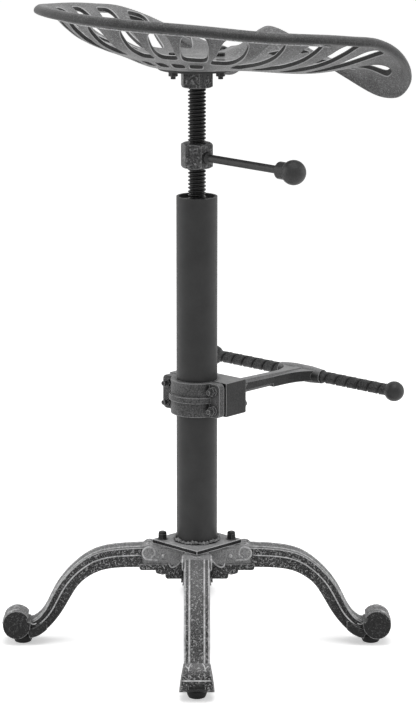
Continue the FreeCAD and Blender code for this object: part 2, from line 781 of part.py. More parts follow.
rim_inset = 13.5
slot_cutters = []
for turn in (173.2, 159.7, 146.2, 132.7, 119.2, 105.7, 91.2, 77.7, 65, 51):
    edge = smooth_between(pan_stations, turn, 1)
    aim = V(max(0, 134 - turn) * 1.8, 0, 0) if turn > 60 else V(60, 20, 0)
    reach = 72 + 14 * min(1, max(0, 119 - turn) / 28)
    spot = around(edge, turn)
    inward = aim - spot
    inward.normalize()
    rib = 12 if turn > 85 else 15
    width = edge * math.radians(13.4) - rib
    inset = rim_inset if turn > 85 else rim_inset + 8
    for side in (1, -1):
        start = V(spot.x, side * spot.y, 0)
        heading = V(inward.x, side * inward.y, 0)
        slot_cutters.append(slot_cutter(start + heading * inset, heading, reach, width, width * 0.68))
for turn in (173.2, 158.4, 143.6, 128.8, 114, 99.2, 84.4, 69.6, 54.8, 40):
    width = 100 * math.radians(14.8) - 10
    for side in (1, -1):
        start = around(100, side * turn)
        slot_cutters.append(slot_cutter(start, -around(1, side * turn), 36, width, width * 0.5))
pan_shape = pan_shape.cut(Part.makeCompound(slot_cutters))
bolt_cutters = [cylinder(small_hole_radius, 30, around(seat_bolt_circle, 90 * index, pan_base - 15))
                for index in range(4)]
pan_shape = pan_shape.cut(Part.makeCompound(bolt_cutters))
solid_feature("seat_pan", pan_shape)

# Seat bolts drop through the pan and the mounting plate, nuts underneath.
seat_bolt_solids = []
seat_nut_solids = []
pan_top = pan_base + 1.2
for index in range(4):
    over = around(seat_bolt_circle, 90 * index, pan_top)
    head = hex_prism(small_nut_flats, 4, over, Z_AXIS, 30)
    shank_low = plate_low.value - small_nut_height.value - 3.5
    shank = cylinder(small_bolt_radius, pan_top + 1 - shank_low, around(seat_bolt_circle, 90 * index, shank_low))
    seat_bolt_solids.append(head.fuse(shank).removeSplitter())
    under = around(seat_bolt_circle, 90 * index, plate_low.value - small_nut_height.value)
    nut = hex_prism(small_nut_flats, small_nut_height, under, Z_AXIS, 30)
    seat_nut_solids.append(nut.cut(cylinder(small_bolt_radius + seated_gap, 20, under - V(0, 0, 5))))
solid_feature("seat_bolts", Part.makeCompound(seat_bolt_solids))
solid_feature("seat_nuts", Part.makeCompound(seat_nut_solids))

# Footrest clamp, drawn with the arm along +X and turned into place at the end.
low = clamp_level.value - clamp_height.value / 2
high = low + clamp_height.value
bore_radius = tube_radius.value + running_fit.value
shell_radius = tube_radius.value + collar_wall.value
half_gap = split_gap.value / 2
ear = ear_reach.value
thick = ear_thickness.value


def rounded_upright(shape, radius, test):
    edges = [edge for edge in shape.Edges if len(edge.Vertexes) == 2 and test(edge)]
    return shape.makeFillet(radius, edges) if edges else shape


collar = cylinder(shell_radius, high - low, V(0, 0, low))
collar = collar.common(box_between(V(-60, -60, low), V(-half_gap, 60, high)))
ears = box_between(V(-half_gap - thick, -ear, low), V(-half_gap, ear, high))
ears = rounded_upright(ears, 6, lambda edge: abs(edge.Vertexes[0].Y - edge.Vertexes[1].Y) < 1e-6
                       and abs(edge.Vertexes[0].Z - edge.Vertexes[1].Z) < 1e-6)
bead = cylinder(shell_radius + 2.4, 7, V(0, 0, clamp_level.value - 3.5))
bead = bead.common(box_between(V(-60, -60, low), V(-half_gap - thick + 1, 60, high)))
front = collar.fuse(ears).fuse(bead)

rear = box_between(V(half_gap, -ear, low), V(block_depth.value, ear, high))
rear = rounded_upright(rear, 5, lambda edge: edge.Vertexes[0].X > 30 and edge.Vertexes[1].X > 30)
arm_z = (clamp_level.value - 2, bar_level.value + 1)
arm_half = arm_width.value / 2
arm_end = bar_out.value - 2
arm_points = [V(20, 0, arm_z[0] - arm_height.value / 2 - 3), V(52, 0, arm_z[0] - arm_height.value / 2),
              V(arm_end, 0, arm_z[1] - arm_height.value / 2 + 2), V(arm_end, 0, arm_z[1] + arm_height.value / 2 - 1),
              V(52, 0, arm_z[0] + arm_height.value / 2), V(20, 0, arm_z[0] + arm_height.value / 2 + 3)]
arm_points.append(arm_points[0])
arm_face = Part.Face(Part.makePolygon(arm_points))
arm_face.translate(V(0, -arm_half, 0))
arm = arm_face.extrude(V(0, arm_width.value, 0))
arm_edges = [edge for edge in arm.Edges if abs(edge.Vertexes[0].Y - edge.Vertexes[1].Y) < 1e-6
             and abs(edge.Vertexes[0].X - edge.Vertexes[1].X) > 60]
arm = arm.makeChamfer(3.5, arm_edges)
# Saddle on the bar: the arm spreads in two hollow curves into a sleeve that
# thins towards both ends.
sleeve_radius = bar_radius.value + sleeve_wall.value
sleeve_end = sleeve_half_length.value
sleeve_middle = sleeve_end * 0.4
saddle_start = bar_out.value - 64
palm_edges = []
for side in (-1, 1):
    curve = Part.BSplineCurve()
    curve.interpolate([
        V(saddle_start, side * arm_half, 0), V(saddle_start + 26, side * (arm_half + 2), 0),
        V(saddle_start + 46, side * (arm_half + 8), 0), V(saddle_start + 60, side * (sleeve_end - 4), 0),
    ])
    palm_edges.append(curve)
right, left = palm_edges
palm_face = Part.Face(Part.Wire([
    right.toShape(), Part.LineSegment(right.EndPoint, left.EndPoint).toShape(),
    left.toShape(), Part.LineSegment(left.StartPoint, right.StartPoint).toShape(),
]))
palm_face.translate(V(0, 0, bar_level.value - 6))
palm = palm_face.extrude(V(0, 0, 13.5))
bar_middle = V(bar_out.value, 0, bar_level.value)
sleeve = cylinder(sleeve_radius, 2 * sleeve_middle, bar_middle - V(0, sleeve_middle, 0), V(0, 1, 0))
for side in (-1, 1):
    taper = Part.makeCone(sleeve_radius, bar_radius.value + 1, sleeve_end - sleeve_middle,
                          bar_middle + V(0, side * sleeve_middle, 0), V(0, side, 0))
    sleeve = sleeve.fuse(taper)
rear = rear.fuse(arm).fuse(palm).fuse(sleeve)
bar_bore = cylinder(bar_radius.value + seated_gap.value, 90, V(bar_out.value, -45, bar_level.value), V(0, 1, 0))
rear = rear.cut(bar_bore)

column_bore = cylinder(bore_radius, high - low + 20, V(0, 0, low - 10))
bolt_spots = []
for side in (-1, 1):
    for up in (-1, 1):
        bolt_spots.append((side * clamp_bolt_out.value, clamp_level.value + up * clamp_bolt_up.value))
drills = [cylinder(clamp_bolt_radius.value + 0.3, 120, V(-60, y, z), V(1, 0, 0)) for y, z in bolt_spots]
front = front.cut(column_bore).cut(Part.makeCompound(drills)).removeSplitter()
rear = rear.cut(column_bore).cut(Part.makeCompound(drills)).removeSplitter()

bolt_solids = []
nut_solids = []
nut_face = -half_gap - thick
for y, z in bolt_spots:
    shank = cylinder(clamp_bolt_radius, block_depth.value + clamp_bolt_end.value, V(-clamp_bolt_end.value, y, z),
                     V(1, 0, 0))
    head = hex_prism(small_nut_flats, 4, V(block_depth.value, y, z), V(1, 0, 0), 30)
    bolt_solids.append(head.fuse(shank).removeSplitter())
    nut = hex_prism(small_nut_flats, small_nut_height, V(nut_face - small_nut_height.value, y, z), V(1, 0, 0), 30)
    ring = cylinder(5.8, 1, V(nut_face - 1, y, z), V(1, 0, 0))
    hole = cylinder(clamp_bolt_radius.value + seated_gap.value, 30, V(nut_face - 20, y, z), V(1, 0, 0))
    nut_solids.append(nut.fuse(ring).cut(hole))

turning = FreeCAD.Placement(ORIGIN, FreeCAD.Rotation(Z_AXIS, footrest_turn.value))
for name, shape in (
    ("clamp_front", front), ("clamp_arm", rear), ("clamp_bolts", Part.makeCompound(bolt_solids)),
    ("clamp_nuts", Part.makeCompound(nut_solids)),
):
    solid_feature(name, shape).Placement = turning

bar = new_body("footrest_bar")
bar_circle = new_sketch(bar, "XZ_Plane", "bar_circle")
add_circle(bar_circle, "bar", bar_radius, bar_out, bar_level)
pad(bar, bar_circle, "bar_length", bar_half_length * 2, both_ways=True)
bar.Placement = turning

balls = []
for label, side in (("left", 1), ("right", -1)):
    ball = one_of("footrest_ball", label)
    add_ball(ball, "ball_" + label, ball_radius, 0)
    bore = bar_radius + seated_gap
    bottom = bar_half_length - ball_out + 0.5
    turned(ball, [(0, -ball_radius - 1), (bore, -ball_radius - 1), (bore, bottom), (0, bottom)],
           "ball_bore_" + label, cut=True)
    spot = V(bar_out.value, side * ball_out.value, bar_level.value)
    heading = FreeCAD.Rotation(Z_AXIS, V(0, side, 0))
    ball.Placement = turning.multiply(FreeCAD.Placement(spot, heading))
    balls.append(ball)
gathered("footrest_balls", balls)

doc.recompute()

faults = []
for item in doc.Objects:
    if "Invalid" in item.State or "Error" in item.State:
        faults.append(item.Name)
for item, name in nodes:
    shape = item.Shape
    if shape.isNull() or not shape.isValid() or shape.Volume <= 0:
        faults.append(name)
        continue
    box = shape.BoundBox
    print("%-18s solids %d volume %9.0f  x %7.1f %7.1f  y %7.1f %7.1f  z %7.1f %7.1f" % (
        name, len(shape.Solids), shape.Volume, box.XMin, box.XMax, box.YMin, box.YMax, box.ZMin, box.ZMax))
if faults:
    raise RuntimeError("faulty: " + ", ".join(faults))
for item, name in nodes:
    item.Shape.exportStep("parts/%s.step" % name)
print("exported", len(nodes))
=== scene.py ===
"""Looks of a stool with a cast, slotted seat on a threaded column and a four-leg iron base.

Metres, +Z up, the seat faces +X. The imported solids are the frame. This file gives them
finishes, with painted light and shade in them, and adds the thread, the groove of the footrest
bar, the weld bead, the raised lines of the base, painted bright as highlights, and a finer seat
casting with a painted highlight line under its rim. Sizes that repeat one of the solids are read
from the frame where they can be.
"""
import json
import math
import bpy
import bmesh
import numpy as np
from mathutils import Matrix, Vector


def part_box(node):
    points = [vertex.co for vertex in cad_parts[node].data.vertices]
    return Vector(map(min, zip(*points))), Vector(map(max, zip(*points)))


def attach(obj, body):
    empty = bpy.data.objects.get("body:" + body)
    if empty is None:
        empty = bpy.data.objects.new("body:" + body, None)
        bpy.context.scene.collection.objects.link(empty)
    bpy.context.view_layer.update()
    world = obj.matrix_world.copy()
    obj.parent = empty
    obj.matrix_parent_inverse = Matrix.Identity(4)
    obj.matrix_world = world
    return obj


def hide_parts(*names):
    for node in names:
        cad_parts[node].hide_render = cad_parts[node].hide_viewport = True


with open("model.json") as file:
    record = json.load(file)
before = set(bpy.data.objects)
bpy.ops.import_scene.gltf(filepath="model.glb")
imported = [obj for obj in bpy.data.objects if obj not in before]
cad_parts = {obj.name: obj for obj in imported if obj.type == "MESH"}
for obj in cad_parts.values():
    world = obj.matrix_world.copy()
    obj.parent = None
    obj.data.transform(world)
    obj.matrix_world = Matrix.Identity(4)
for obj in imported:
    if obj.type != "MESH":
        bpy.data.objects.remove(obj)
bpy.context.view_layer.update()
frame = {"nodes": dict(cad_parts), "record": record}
nodes = frame["nodes"]
MM = 0.001
FULL_TURN = 2 * math.pi

# Directions that repeat the solids: the four legs and the footrest
LEG_TURNS = np.radians((45, 135, -135, -45))
FOOTREST_TURN = math.radians(2.7)


# Meshes

SMOOTH_ANGLE = math.radians(40)
MERGE_DISTANCE = 1e-7
BEAD_SIDES = 8
BEAD_END_RINGS = 3
BOSS_RINGS, BOSS_SIDES = 8, 14


def grid_quads(rows, columns, wrap_rows=False, wrap_columns=False):
    """Corner numbers of the four-sided faces between the points of a grid."""
    index = np.arange(rows * columns).reshape(rows, columns)
    if wrap_rows:
        index = np.vstack([index, index[:1]])
    if wrap_columns:
        index = np.hstack([index, index[:, :1]])
    return np.stack([index[:-1, :-1], index[:-1, 1:], index[1:, 1:], index[1:, :-1]], axis=-1)


def grid_mesh(name, points, wrap_rows=False, wrap_columns=False):
    """A skin of four-sided faces over a grid of points with shape (rows, columns, 3).

    Either way round the grid can close on itself. Points that fall together, as at a
    pole, are merged, so the skin has no hole there."""
    quads = grid_quads(*points.shape[:2], wrap_rows, wrap_columns).reshape(-1, 4)
    return quad_mesh(name, points.reshape(-1, 3), quads)


def quad_mesh(name, points, quads, hollow=None):
    """A mesh of four-sided faces over points, with doubles merged and faces turned outwards.

    Hollow is how dark each face is painted: one stays black, for painted shade over unrubbed
    black paint, nought is plain, and minus one is rubbed bright."""
    mesh = bpy.data.meshes.new(name)
    mesh.vertices.add(len(points))
    mesh.vertices.foreach_set("co", points.reshape(-1).astype(np.float32))
    mesh.loops.add(quads.size)
    mesh.loops.foreach_set("vertex_index", quads.reshape(-1).astype(np.int32))
    mesh.polygons.add(len(quads))
    mesh.polygons.foreach_set("loop_start", np.arange(0, quads.size, 4, dtype=np.int32))
    mesh.update(calc_edges=True)
    if hollow is not None:
        layer = mesh.attributes.new("hollow", "FLOAT", "FACE")
        layer.data.foreach_set("value", hollow.astype(np.float32))
    work = bmesh.new()
    work.from_mesh(mesh)
    bmesh.ops.remove_doubles(work, verts=work.verts, dist=MERGE_DISTANCE)
    bmesh.ops.recalc_face_normals(work, faces=work.faces)
    work.to_mesh(mesh)
    work.free()
    return mesh


def joined(name, meshes):
    """Several meshes as one."""
    work = bmesh.new()
    for mesh in meshes:
        work.from_mesh(mesh)
    result = bpy.data.meshes.new(name)
    work.to_mesh(result)
    work.free()
    for mesh in meshes:
        bpy.data.meshes.remove(mesh)
    return result


def piece(name, mesh, body, material, replaces=()):
    """A finished piece: its object, its finish and the body that it moves with."""
    mesh.materials.clear()
    mesh.materials.append(material)
    obj = bpy.data.objects.new(name, mesh)
    bpy.context.scene.collection.objects.link(obj)
    mesh.shade_smooth()
    mesh.set_sharp_from_angle(angle=SMOOTH_ANGLE)
    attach(obj, body)
    if replaces:
        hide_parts(*replaces)


def unit(vectors):
    """Vectors of length one."""
    return vectors / np.linalg.norm(vectors, axis=-1, keepdims=True)


def circle(count):
    """Angles spaced evenly round one turn."""
    return np.linspace(0, FULL_TURN, count, endpoint=False)


def around(radius, turn, height):
    """Points at a distance from the upright axis, an angle round it and a height."""
    radius, turn, height = np.broadcast_arrays(radius, turn, height)
    return np.stack([radius * np.cos(turn), radius * np.sin(turn), height], axis=-1)


def turned(points, turn):
    """Points turned about the upright axis."""
    points = np.asarray(points, float)
    x, y, z = points[..., 0], points[..., 1], points[..., 2]
    return np.stack([x * math.cos(turn) - y * math.sin(turn), x * math.sin(turn) + y * math.cos(turn), z],
                    axis=-1)


def bead(name, line, square_to, radius):
    """A round bead along a line: rings square to it, drawn in to a point at both ends.

    Ring point = line + radius * (cos * across + sin * up), where across is square to the
    line and to a fixed direction, and up is square to both."""
    tangent = unit(np.gradient(line, axis=0))
    across = unit(np.cross(tangent, square_to))
    up = np.cross(across, tangent)
    turn = circle(BEAD_SIDES)[None, :, None]
    place = np.linspace(0, 1, len(line))
    swell = radius * np.clip(np.minimum(place, 1 - place) * len(line) / BEAD_END_RINGS, 0, 1) ** 0.5
    ring = np.cos(turn) * across[:, None] + np.sin(turn) * up[:, None]
    return grid_mesh(name, line[:, None] + swell[:, None, None] * ring, wrap_columns=True)


def boss(name, centre, radius):
    """A small round boss: a ball of rings between two poles."""
    rise = np.linspace(0, math.pi, BOSS_RINGS)[:, None]
    ball = around(np.sin(rise), circle(BOSS_SIDES), np.cos(rise))
    return grid_mesh(name, np.asarray(centre) + radius * ball, wrap_columns=True)


def smooth_line(points, count):
    """A natural cubic spline through points, spaced by the chords between them."""
    points = np.asarray(points, float)
    knots = np.concatenate([[0], np.cumsum(np.linalg.norm(np.diff(points, axis=0), axis=1))])
    gap = np.diff(knots)
    size = len(points)
    system = np.eye(size)
    slopes = np.zeros_like(points)
    rate = np.diff(points, axis=0) / gap[:, None]
    inner = np.arange(1, size - 1)
    system[inner, inner - 1] = gap[:-1]
    system[inner, inner] = 2 * (gap[:-1] + gap[1:])
    system[inner, inner + 1] = gap[1:]
    slopes[1:-1] = 6 * np.diff(rate, axis=0)
    bends = np.linalg.solve(system, slopes)
    place = np.linspace(0, knots[-1], count)
    span = np.clip(np.searchsorted(knots, place) - 1, 0, size - 2)
    width = gap[span][:, None]
    after = (place - knots[span])[:, None]
    before = width - after
    return (bends[span] * before ** 3 + bends[span + 1] * after ** 3) / (6 * width) \
        + (points[span] / width - bends[span] * width / 6) * before \
        + (points[span + 1] / width - bends[span + 1] * width / 6) * after


# Nodes

def new_group(name, inputs, outputs):
    """A shader group. Inputs are (name, value), outputs are names, and every socket is a number."""
    group = bpy.data.node_groups.new(name, "ShaderNodeTree")
    for label, value in inputs:
        socket = group.interface.new_socket(name=label, in_out="INPUT", socket_type="NodeSocketFloat")
        socket.default_value = value
    for label in outputs:
        group.interface.new_socket(name=label, in_out="OUTPUT", socket_type="NodeSocketFloat")
    start = group.nodes.new("NodeGroupInput")
    end = group.nodes.new("NodeGroupOutput")
    return group, start, end


def add_node(tree, kind, values=None, **settings):
    """A shader node with its settings, and values on its sockets by name or number."""
    node = tree.nodes.new(kind)
    for key, value in settings.items():
        setattr(node, key, value)
    for key, value in (values or {}).items():
        node.inputs[key].default_value = value
    return node


def feed(tree, item, socket):
    """Put a plain value on a socket, or link another socket to it."""
    if isinstance(item, bpy.types.NodeSocket):
        tree.links.new(item, socket)
    else:
        socket.default_value = item


def map_range(tree, source, low, high, to_low=0.0, to_high=1.0):
    """Scale a value from one range to another, held at the ends."""
    node = add_node(tree, "ShaderNodeMapRange", {1: low, 2: high, 3: to_low, 4: to_high})
    tree.links.new(source, node.inputs[0])
    return node.outputs[0]


def calculate(tree, operation, first, second, clamp=False):
    """One step of arithmetic between sockets or plain numbers."""
    node = add_node(tree, "ShaderNodeMath", operation=operation, use_clamp=clamp)
    feed(tree, first, node.inputs[0])
    feed(tree, second, node.inputs[1])
    return node.outputs[0]


def noise(tree, vector, scale, detail=2.0, roughness=0.5):
    """A noise value over a vector."""
    node = add_node(tree, "ShaderNodeTexNoise", {"Detail": detail, "Roughness": roughness})
    tree.links.new(vector, node.inputs["Vector"])
    feed(tree, scale, node.inputs["Scale"])
    return node.outputs["Fac"]


def mix_colour(tree, factor, first, second):
    """A mix of two colours, each a socket or a plain colour."""
    node = add_node(tree, "ShaderNodeMix", data_type="RGBA")
    tree.links.new(factor, node.inputs[0])
    feed(tree, first, node.inputs[6])
    feed(tree, second, node.inputs[7])
    return node.outputs[2]


def use_group(tree, group, **values):
    """Place a shader group with its own values."""
    node = add_node(tree, "ShaderNodeGroup")
    node.node_tree = group
    for key, value in values.items():
        node.inputs[key].default_value = value
    return node


def object_place(tree):
    """The place on the piece, in metres."""
    return add_node(tree, "ShaderNodeTexCoord").outputs["Object"]


def true_normal(tree):
    """The direction in which the surface faces."""
    return add_node(tree, "ShaderNodeNewGeometry").outputs["Normal"]


# Shader groups. Each pair says where a look starts and where it is whole

RAY_SAMPLES = 8
WEAR_FACING = (0.985, 0.86)
WEAR_PATCHES = (0.34, 0.56)
OPENNESS = (0.92, 0.5)
GRAIN_RANGE = (0.3, 0.7)
MEDIUM_GRAIN_SCALE = 0.45
CLOUD_SCALE = 34.0
CLOUD_RANGE = (0.35, 0.65)
SKYWARD = (0.35, 0.9)
FLANK_FACING = (0.6, 0.9)
FLANK_HEIGHT = (0.1, 0.03)
TOE_OUT = (0.229, 0.231)
TOE_SIDEWAYS = (0.0125, 0.0115)
TOE_HEIGHT = (0.0195, 0.0185)
HUB_OUT = (0.068, 0.065)
HUB_HEIGHT = (0.102, 0.106)


def make_edge_wear():
    """Edges rubbed bright: where the rounded-over normal leaves the true one, broken up by noise."""
    tree, start, end = new_group(
        "edge_wear", [("Width", 0.0015), ("Breakup", 260.0), ("Cover", 0.0), ("Amount", 1.0)], ["Mask"])
    bevel = add_node(tree, "ShaderNodeBevel", samples=RAY_SAMPLES)
    tree.links.new(start.outputs["Width"], bevel.inputs["Radius"])
    dot = add_node(tree, "ShaderNodeVectorMath", operation="DOT_PRODUCT")
    tree.links.new(bevel.outputs[0], dot.inputs[0])
    tree.links.new(true_normal(tree), dot.inputs[1])
    edge = map_range(tree, dot.outputs["Value"], *WEAR_FACING)
    patches = noise(tree, object_place(tree), start.outputs["Breakup"], 3.0)
    patches = calculate(tree, "ADD", patches, start.outputs["Cover"])
    rubbed = calculate(tree, "MULTIPLY", edge, map_range(tree, patches, *WEAR_PATCHES))
    rubbed = calculate(tree, "MULTIPLY", rubbed, start.outputs["Amount"], clamp=True)
    tree.links.new(rubbed, end.inputs["Mask"])
    return tree


def make_recess():
    """Painted shade in hollows, where near surfaces close over them, over the unrubbed black paint there.
    """
    tree, start, end = new_group("recess", [("Reach", 0.01), ("Amount", 1.0)], ["Mask"])
    closed = add_node(tree, "ShaderNodeAmbientOcclusion", samples=RAY_SAMPLES)
    tree.links.new(start.outputs["Reach"], closed.inputs["Distance"])
    hollow = map_range(tree, closed.outputs["AO"], *OPENNESS)
    hollow = calculate(tree, "MULTIPLY", hollow, start.outputs["Amount"], clamp=True)
    tree.links.new(hollow, end.inputs["Mask"])
    return tree


def make_cast_grain():
    """The skin of sand-cast iron: fine and medium grain and broad cloudy patches, each nought to one."""
    tree, start, end = new_group("cast_grain", [("Fineness", 700.0)], ["Fine", "Medium", "Clouds"])
    place = object_place(tree)
    fine = noise(tree, place, start.outputs["Fineness"], 2.0, 0.6)
    tree.links.new(map_range(tree, fine, *GRAIN_RANGE), end.inputs["Fine"])
    medium_scale = calculate(tree, "MULTIPLY", start.outputs["Fineness"], MEDIUM_GRAIN_SCALE)
    medium = noise(tree, place, medium_scale)
    tree.links.new(map_range(tree, medium, *GRAIN_RANGE), end.inputs["Medium"])
    clouds = noise(tree, place, CLOUD_SCALE, 3.0)
    tree.links.new(map_range(tree, clouds, *CLOUD_RANGE), end.inputs["Clouds"])
    return tree


def make_top_light_mask():
    """Faces turned to the sky, which get painted top light: lighter, as if lit from above."""
    tree, _, end = new_group("upward", [], ["Mask"])
    parts = add_node(tree, "ShaderNodeSeparateXYZ")
    tree.links.new(true_normal(tree), parts.inputs[0])
    tree.links.new(map_range(tree, parts.outputs["Z"], *SKYWARD), end.inputs["Mask"])
    return tree


def diagonals(tree, source):
    """How far a place or a direction goes along each of the two diagonals, and up."""
    parts = add_node(tree, "ShaderNodeSeparateXYZ")
    tree.links.new(source, parts.inputs[0])
    reach = []
    for operation in ("ADD", "SUBTRACT"):
        value = calculate(tree, operation, parts.outputs["X"], parts.outputs["Y"])
        value = calculate(tree, "MULTIPLY", value, math.sqrt(0.5))
        reach.append(calculate(tree, "ABSOLUTE", value, 0.0))
    return *reach, parts.outputs["Z"]


def make_leg_places():
    """Places on the base: the low flanks of the legs, the recess in each toe, which gets painted shade,
    and the leaves by the hub, which get painted light.

    The legs lie along the diagonals, so the distance out along a leg is the larger of |x + y| and
    |x - y| over the root of two, and the distance sideways from its middle is the smaller."""
    tree, _, end = new_group("leg_places", [], ["Flank", "Toe_shade", "Hub"])
    first, second, height = diagonals(tree, object_place(tree))
    first_facing, second_facing, _ = diagonals(tree, true_normal(tree))
    out = calculate(tree, "MAXIMUM", first, second)
    sideways = calculate(tree, "MINIMUM", first, second)
    on_first = calculate(tree, "GREATER_THAN", first, second)
    on_second = calculate(tree, "SUBTRACT", 1.0, on_first)
    facing = calculate(tree, "ADD", calculate(tree, "MULTIPLY", on_first, second_facing),
                       calculate(tree, "MULTIPLY", on_second, first_facing))
    masks = {
        "Flank": ((facing, FLANK_FACING), (height, FLANK_HEIGHT)),
        "Toe_shade": ((out, TOE_OUT), (sideways, TOE_SIDEWAYS), (height, TOE_HEIGHT)),
        "Hub": ((out, HUB_OUT), (height, HUB_HEIGHT)),
    }
    for name, limits in masks.items():
        mask, *others = (map_range(tree, value, *span) for value, span in limits)
        for other in others:
            mask = calculate(tree, "MULTIPLY", mask, other)
        tree.links.new(mask, end.inputs[name])
    return tree


EDGE_WEAR = make_edge_wear()
RECESS = make_recess()
CAST_GRAIN = make_cast_grain()
TOP_LIGHT_MASK = make_top_light_mask()
LEG_PLACES = make_leg_places()


# Finishes

COLD_TINT = 1.01
PEAKS = (0.32, 0.55)
# Painted top light: tones of upward faces, as shares of top
TOP_LIT_TONES = (0.7, 1.3)
RECESS_SHADE = 0.25
HOLLOW_SHADE = 0.2
FLANK_SHARE, FLANK_LEVEL = 0.85, 0.012
# Painted shade in the recess of each toe
TOE_SHADE_SHARE, TOE_SHADE_LEVEL = 0.95, 0.004
# Painted light on the leaves by the hub, lifting them out of the plate's shadow, over their lighter
# smooth face
HUB_LIGHT_SHARE, HUB_LIGHT_TONES = 0.8, (0.26, 0.5)


def grey(level):
    """A grey of linear light, a shade cold."""
    return (level, level, level * COLD_TINT, 1)


def lay_over(tree, colour, mask, share, cover):
    """One colour laid over another where a mask is, up to a share."""
    return mix_colour(tree, calculate(tree, "MULTIPLY", mask, share), colour, cover)


def worn_paint_and_painted_light(name, tones, fineness, grain_share=0.6, contrast=1.0, top=None, wear_width=0.0012,
               wear=1.0, recess_reach=0.012, recess=0.8, rough=(0.4, 0.55), depth=0.0001, specular=0.4,
               speckle=0.0, cover=0.0, hollow=False, legs=False):
    """Black paint rubbed back to grey metal, with painted light and shade.

    Tones are the dark, the light and the rubbed grey. The colour runs from dark to light through
    the grain. Tops get painted top light where top is given, recesses go black with painted shade
    over their unrubbed paint, and edges and the peaks of the grain are rubbed bright. Hollow reads
    the mesh's own hollow value, with its painted shade and rubbed edges, and legs the places on the
    base, with painted shade in the toes and painted light on the leaves by the hub."""
    dark, light, bright = tones
    material = bpy.data.materials.new(name)
    material.use_nodes = True
    tree = material.node_tree
    shader = tree.nodes["Principled BSDF"]
    shader.inputs["Specular IOR Level"].default_value = specular
    grain = use_group(tree, CAST_GRAIN, Fineness=fineness)
    fine = calculate(tree, "MULTIPLY", grain.outputs["Fine"], grain_share)
    clouds = calculate(tree, "MULTIPLY", grain.outputs["Clouds"], 1 - grain_share)
    tone = calculate(tree, "ADD", fine, clouds)
    tone = map_range(tree, tone, 0.5 - 0.5 / contrast, 0.5 + 0.5 / contrast)
    colour = mix_colour(tree, tone, grey(dark), grey(light))
    # Painted top light: faces turned upwards get lighter tones, as if lit from above
    if top:
        upward = use_group(tree, TOP_LIGHT_MASK)
        lifted = mix_colour(tree, tone, *(grey(top * share) for share in TOP_LIT_TONES))
        colour = mix_colour(tree, upward.outputs["Mask"], colour, lifted)
    if speckle:
        peaks = calculate(tree, "MULTIPLY", grain.outputs["Medium"], grain.outputs["Fine"])
        colour = mix_colour(tree, map_range(tree, peaks, *PEAKS, 0.0, speckle), colour, grey(bright))
    if legs:
        places = use_group(tree, LEG_PLACES)
        colour = lay_over(tree, colour, places.outputs["Flank"], FLANK_SHARE, grey(FLANK_LEVEL))
        # Painted shade in the recess of each toe
        colour = lay_over(tree, colour, places.outputs["Toe_shade"], TOE_SHADE_SHARE, grey(TOE_SHADE_LEVEL))
    # Painted shade in recesses, where near surfaces close over, over their unrubbed black paint
    if recess:
        closed = use_group(tree, RECESS, Reach=recess_reach, Amount=recess)
        colour = mix_colour(tree, closed.outputs["Mask"], colour, grey(dark * RECESS_SHADE))
    # Painted light on the leaves by the hub, lifting them out of the plate's shadow
    if legs:
        smooth = mix_colour(tree, tone, *(grey(level) for level in HUB_LIGHT_TONES))
        colour = lay_over(tree, colour, places.outputs["Hub"], HUB_LIGHT_SHARE, smooth)
    # The hollow value: painted shade in slot walls over unrubbed paint, under the seat's rim and in the
    # bar's groove, and rubbed bright edges
    if hollow:
        value = add_node(tree, "ShaderNodeAttribute", attribute_name="hollow").outputs["Fac"]
        colour = mix_colour(tree, map_range(tree, value, 0.0, 1.0), colour, grey(dark * HOLLOW_SHADE))
        colour = mix_colour(tree, map_range(tree, value, 0.0, -1.0), colour, grey(bright))
    edges = use_group(tree, EDGE_WEAR, Width=wear_width, Amount=wear, Cover=cover)
    colour = mix_colour(tree, edges.outputs["Mask"], colour, grey(bright))
    tree.links.new(colour, shader.inputs["Base Color"])
    tree.links.new(map_range(tree, grain.outputs["Fine"], 0.0, 1.0, *rough), shader.inputs["Roughness"])
    relief = calculate(tree, "ADD", grain.outputs["Fine"], grain.outputs["Medium"])
    bump = add_node(tree, "ShaderNodeBump", {"Strength": 1.0, "Distance": depth})
    tree.links.new(relief, bump.inputs["Height"])
    tree.links.new(bump.outputs[0], shader.inputs["Normal"])
    return material
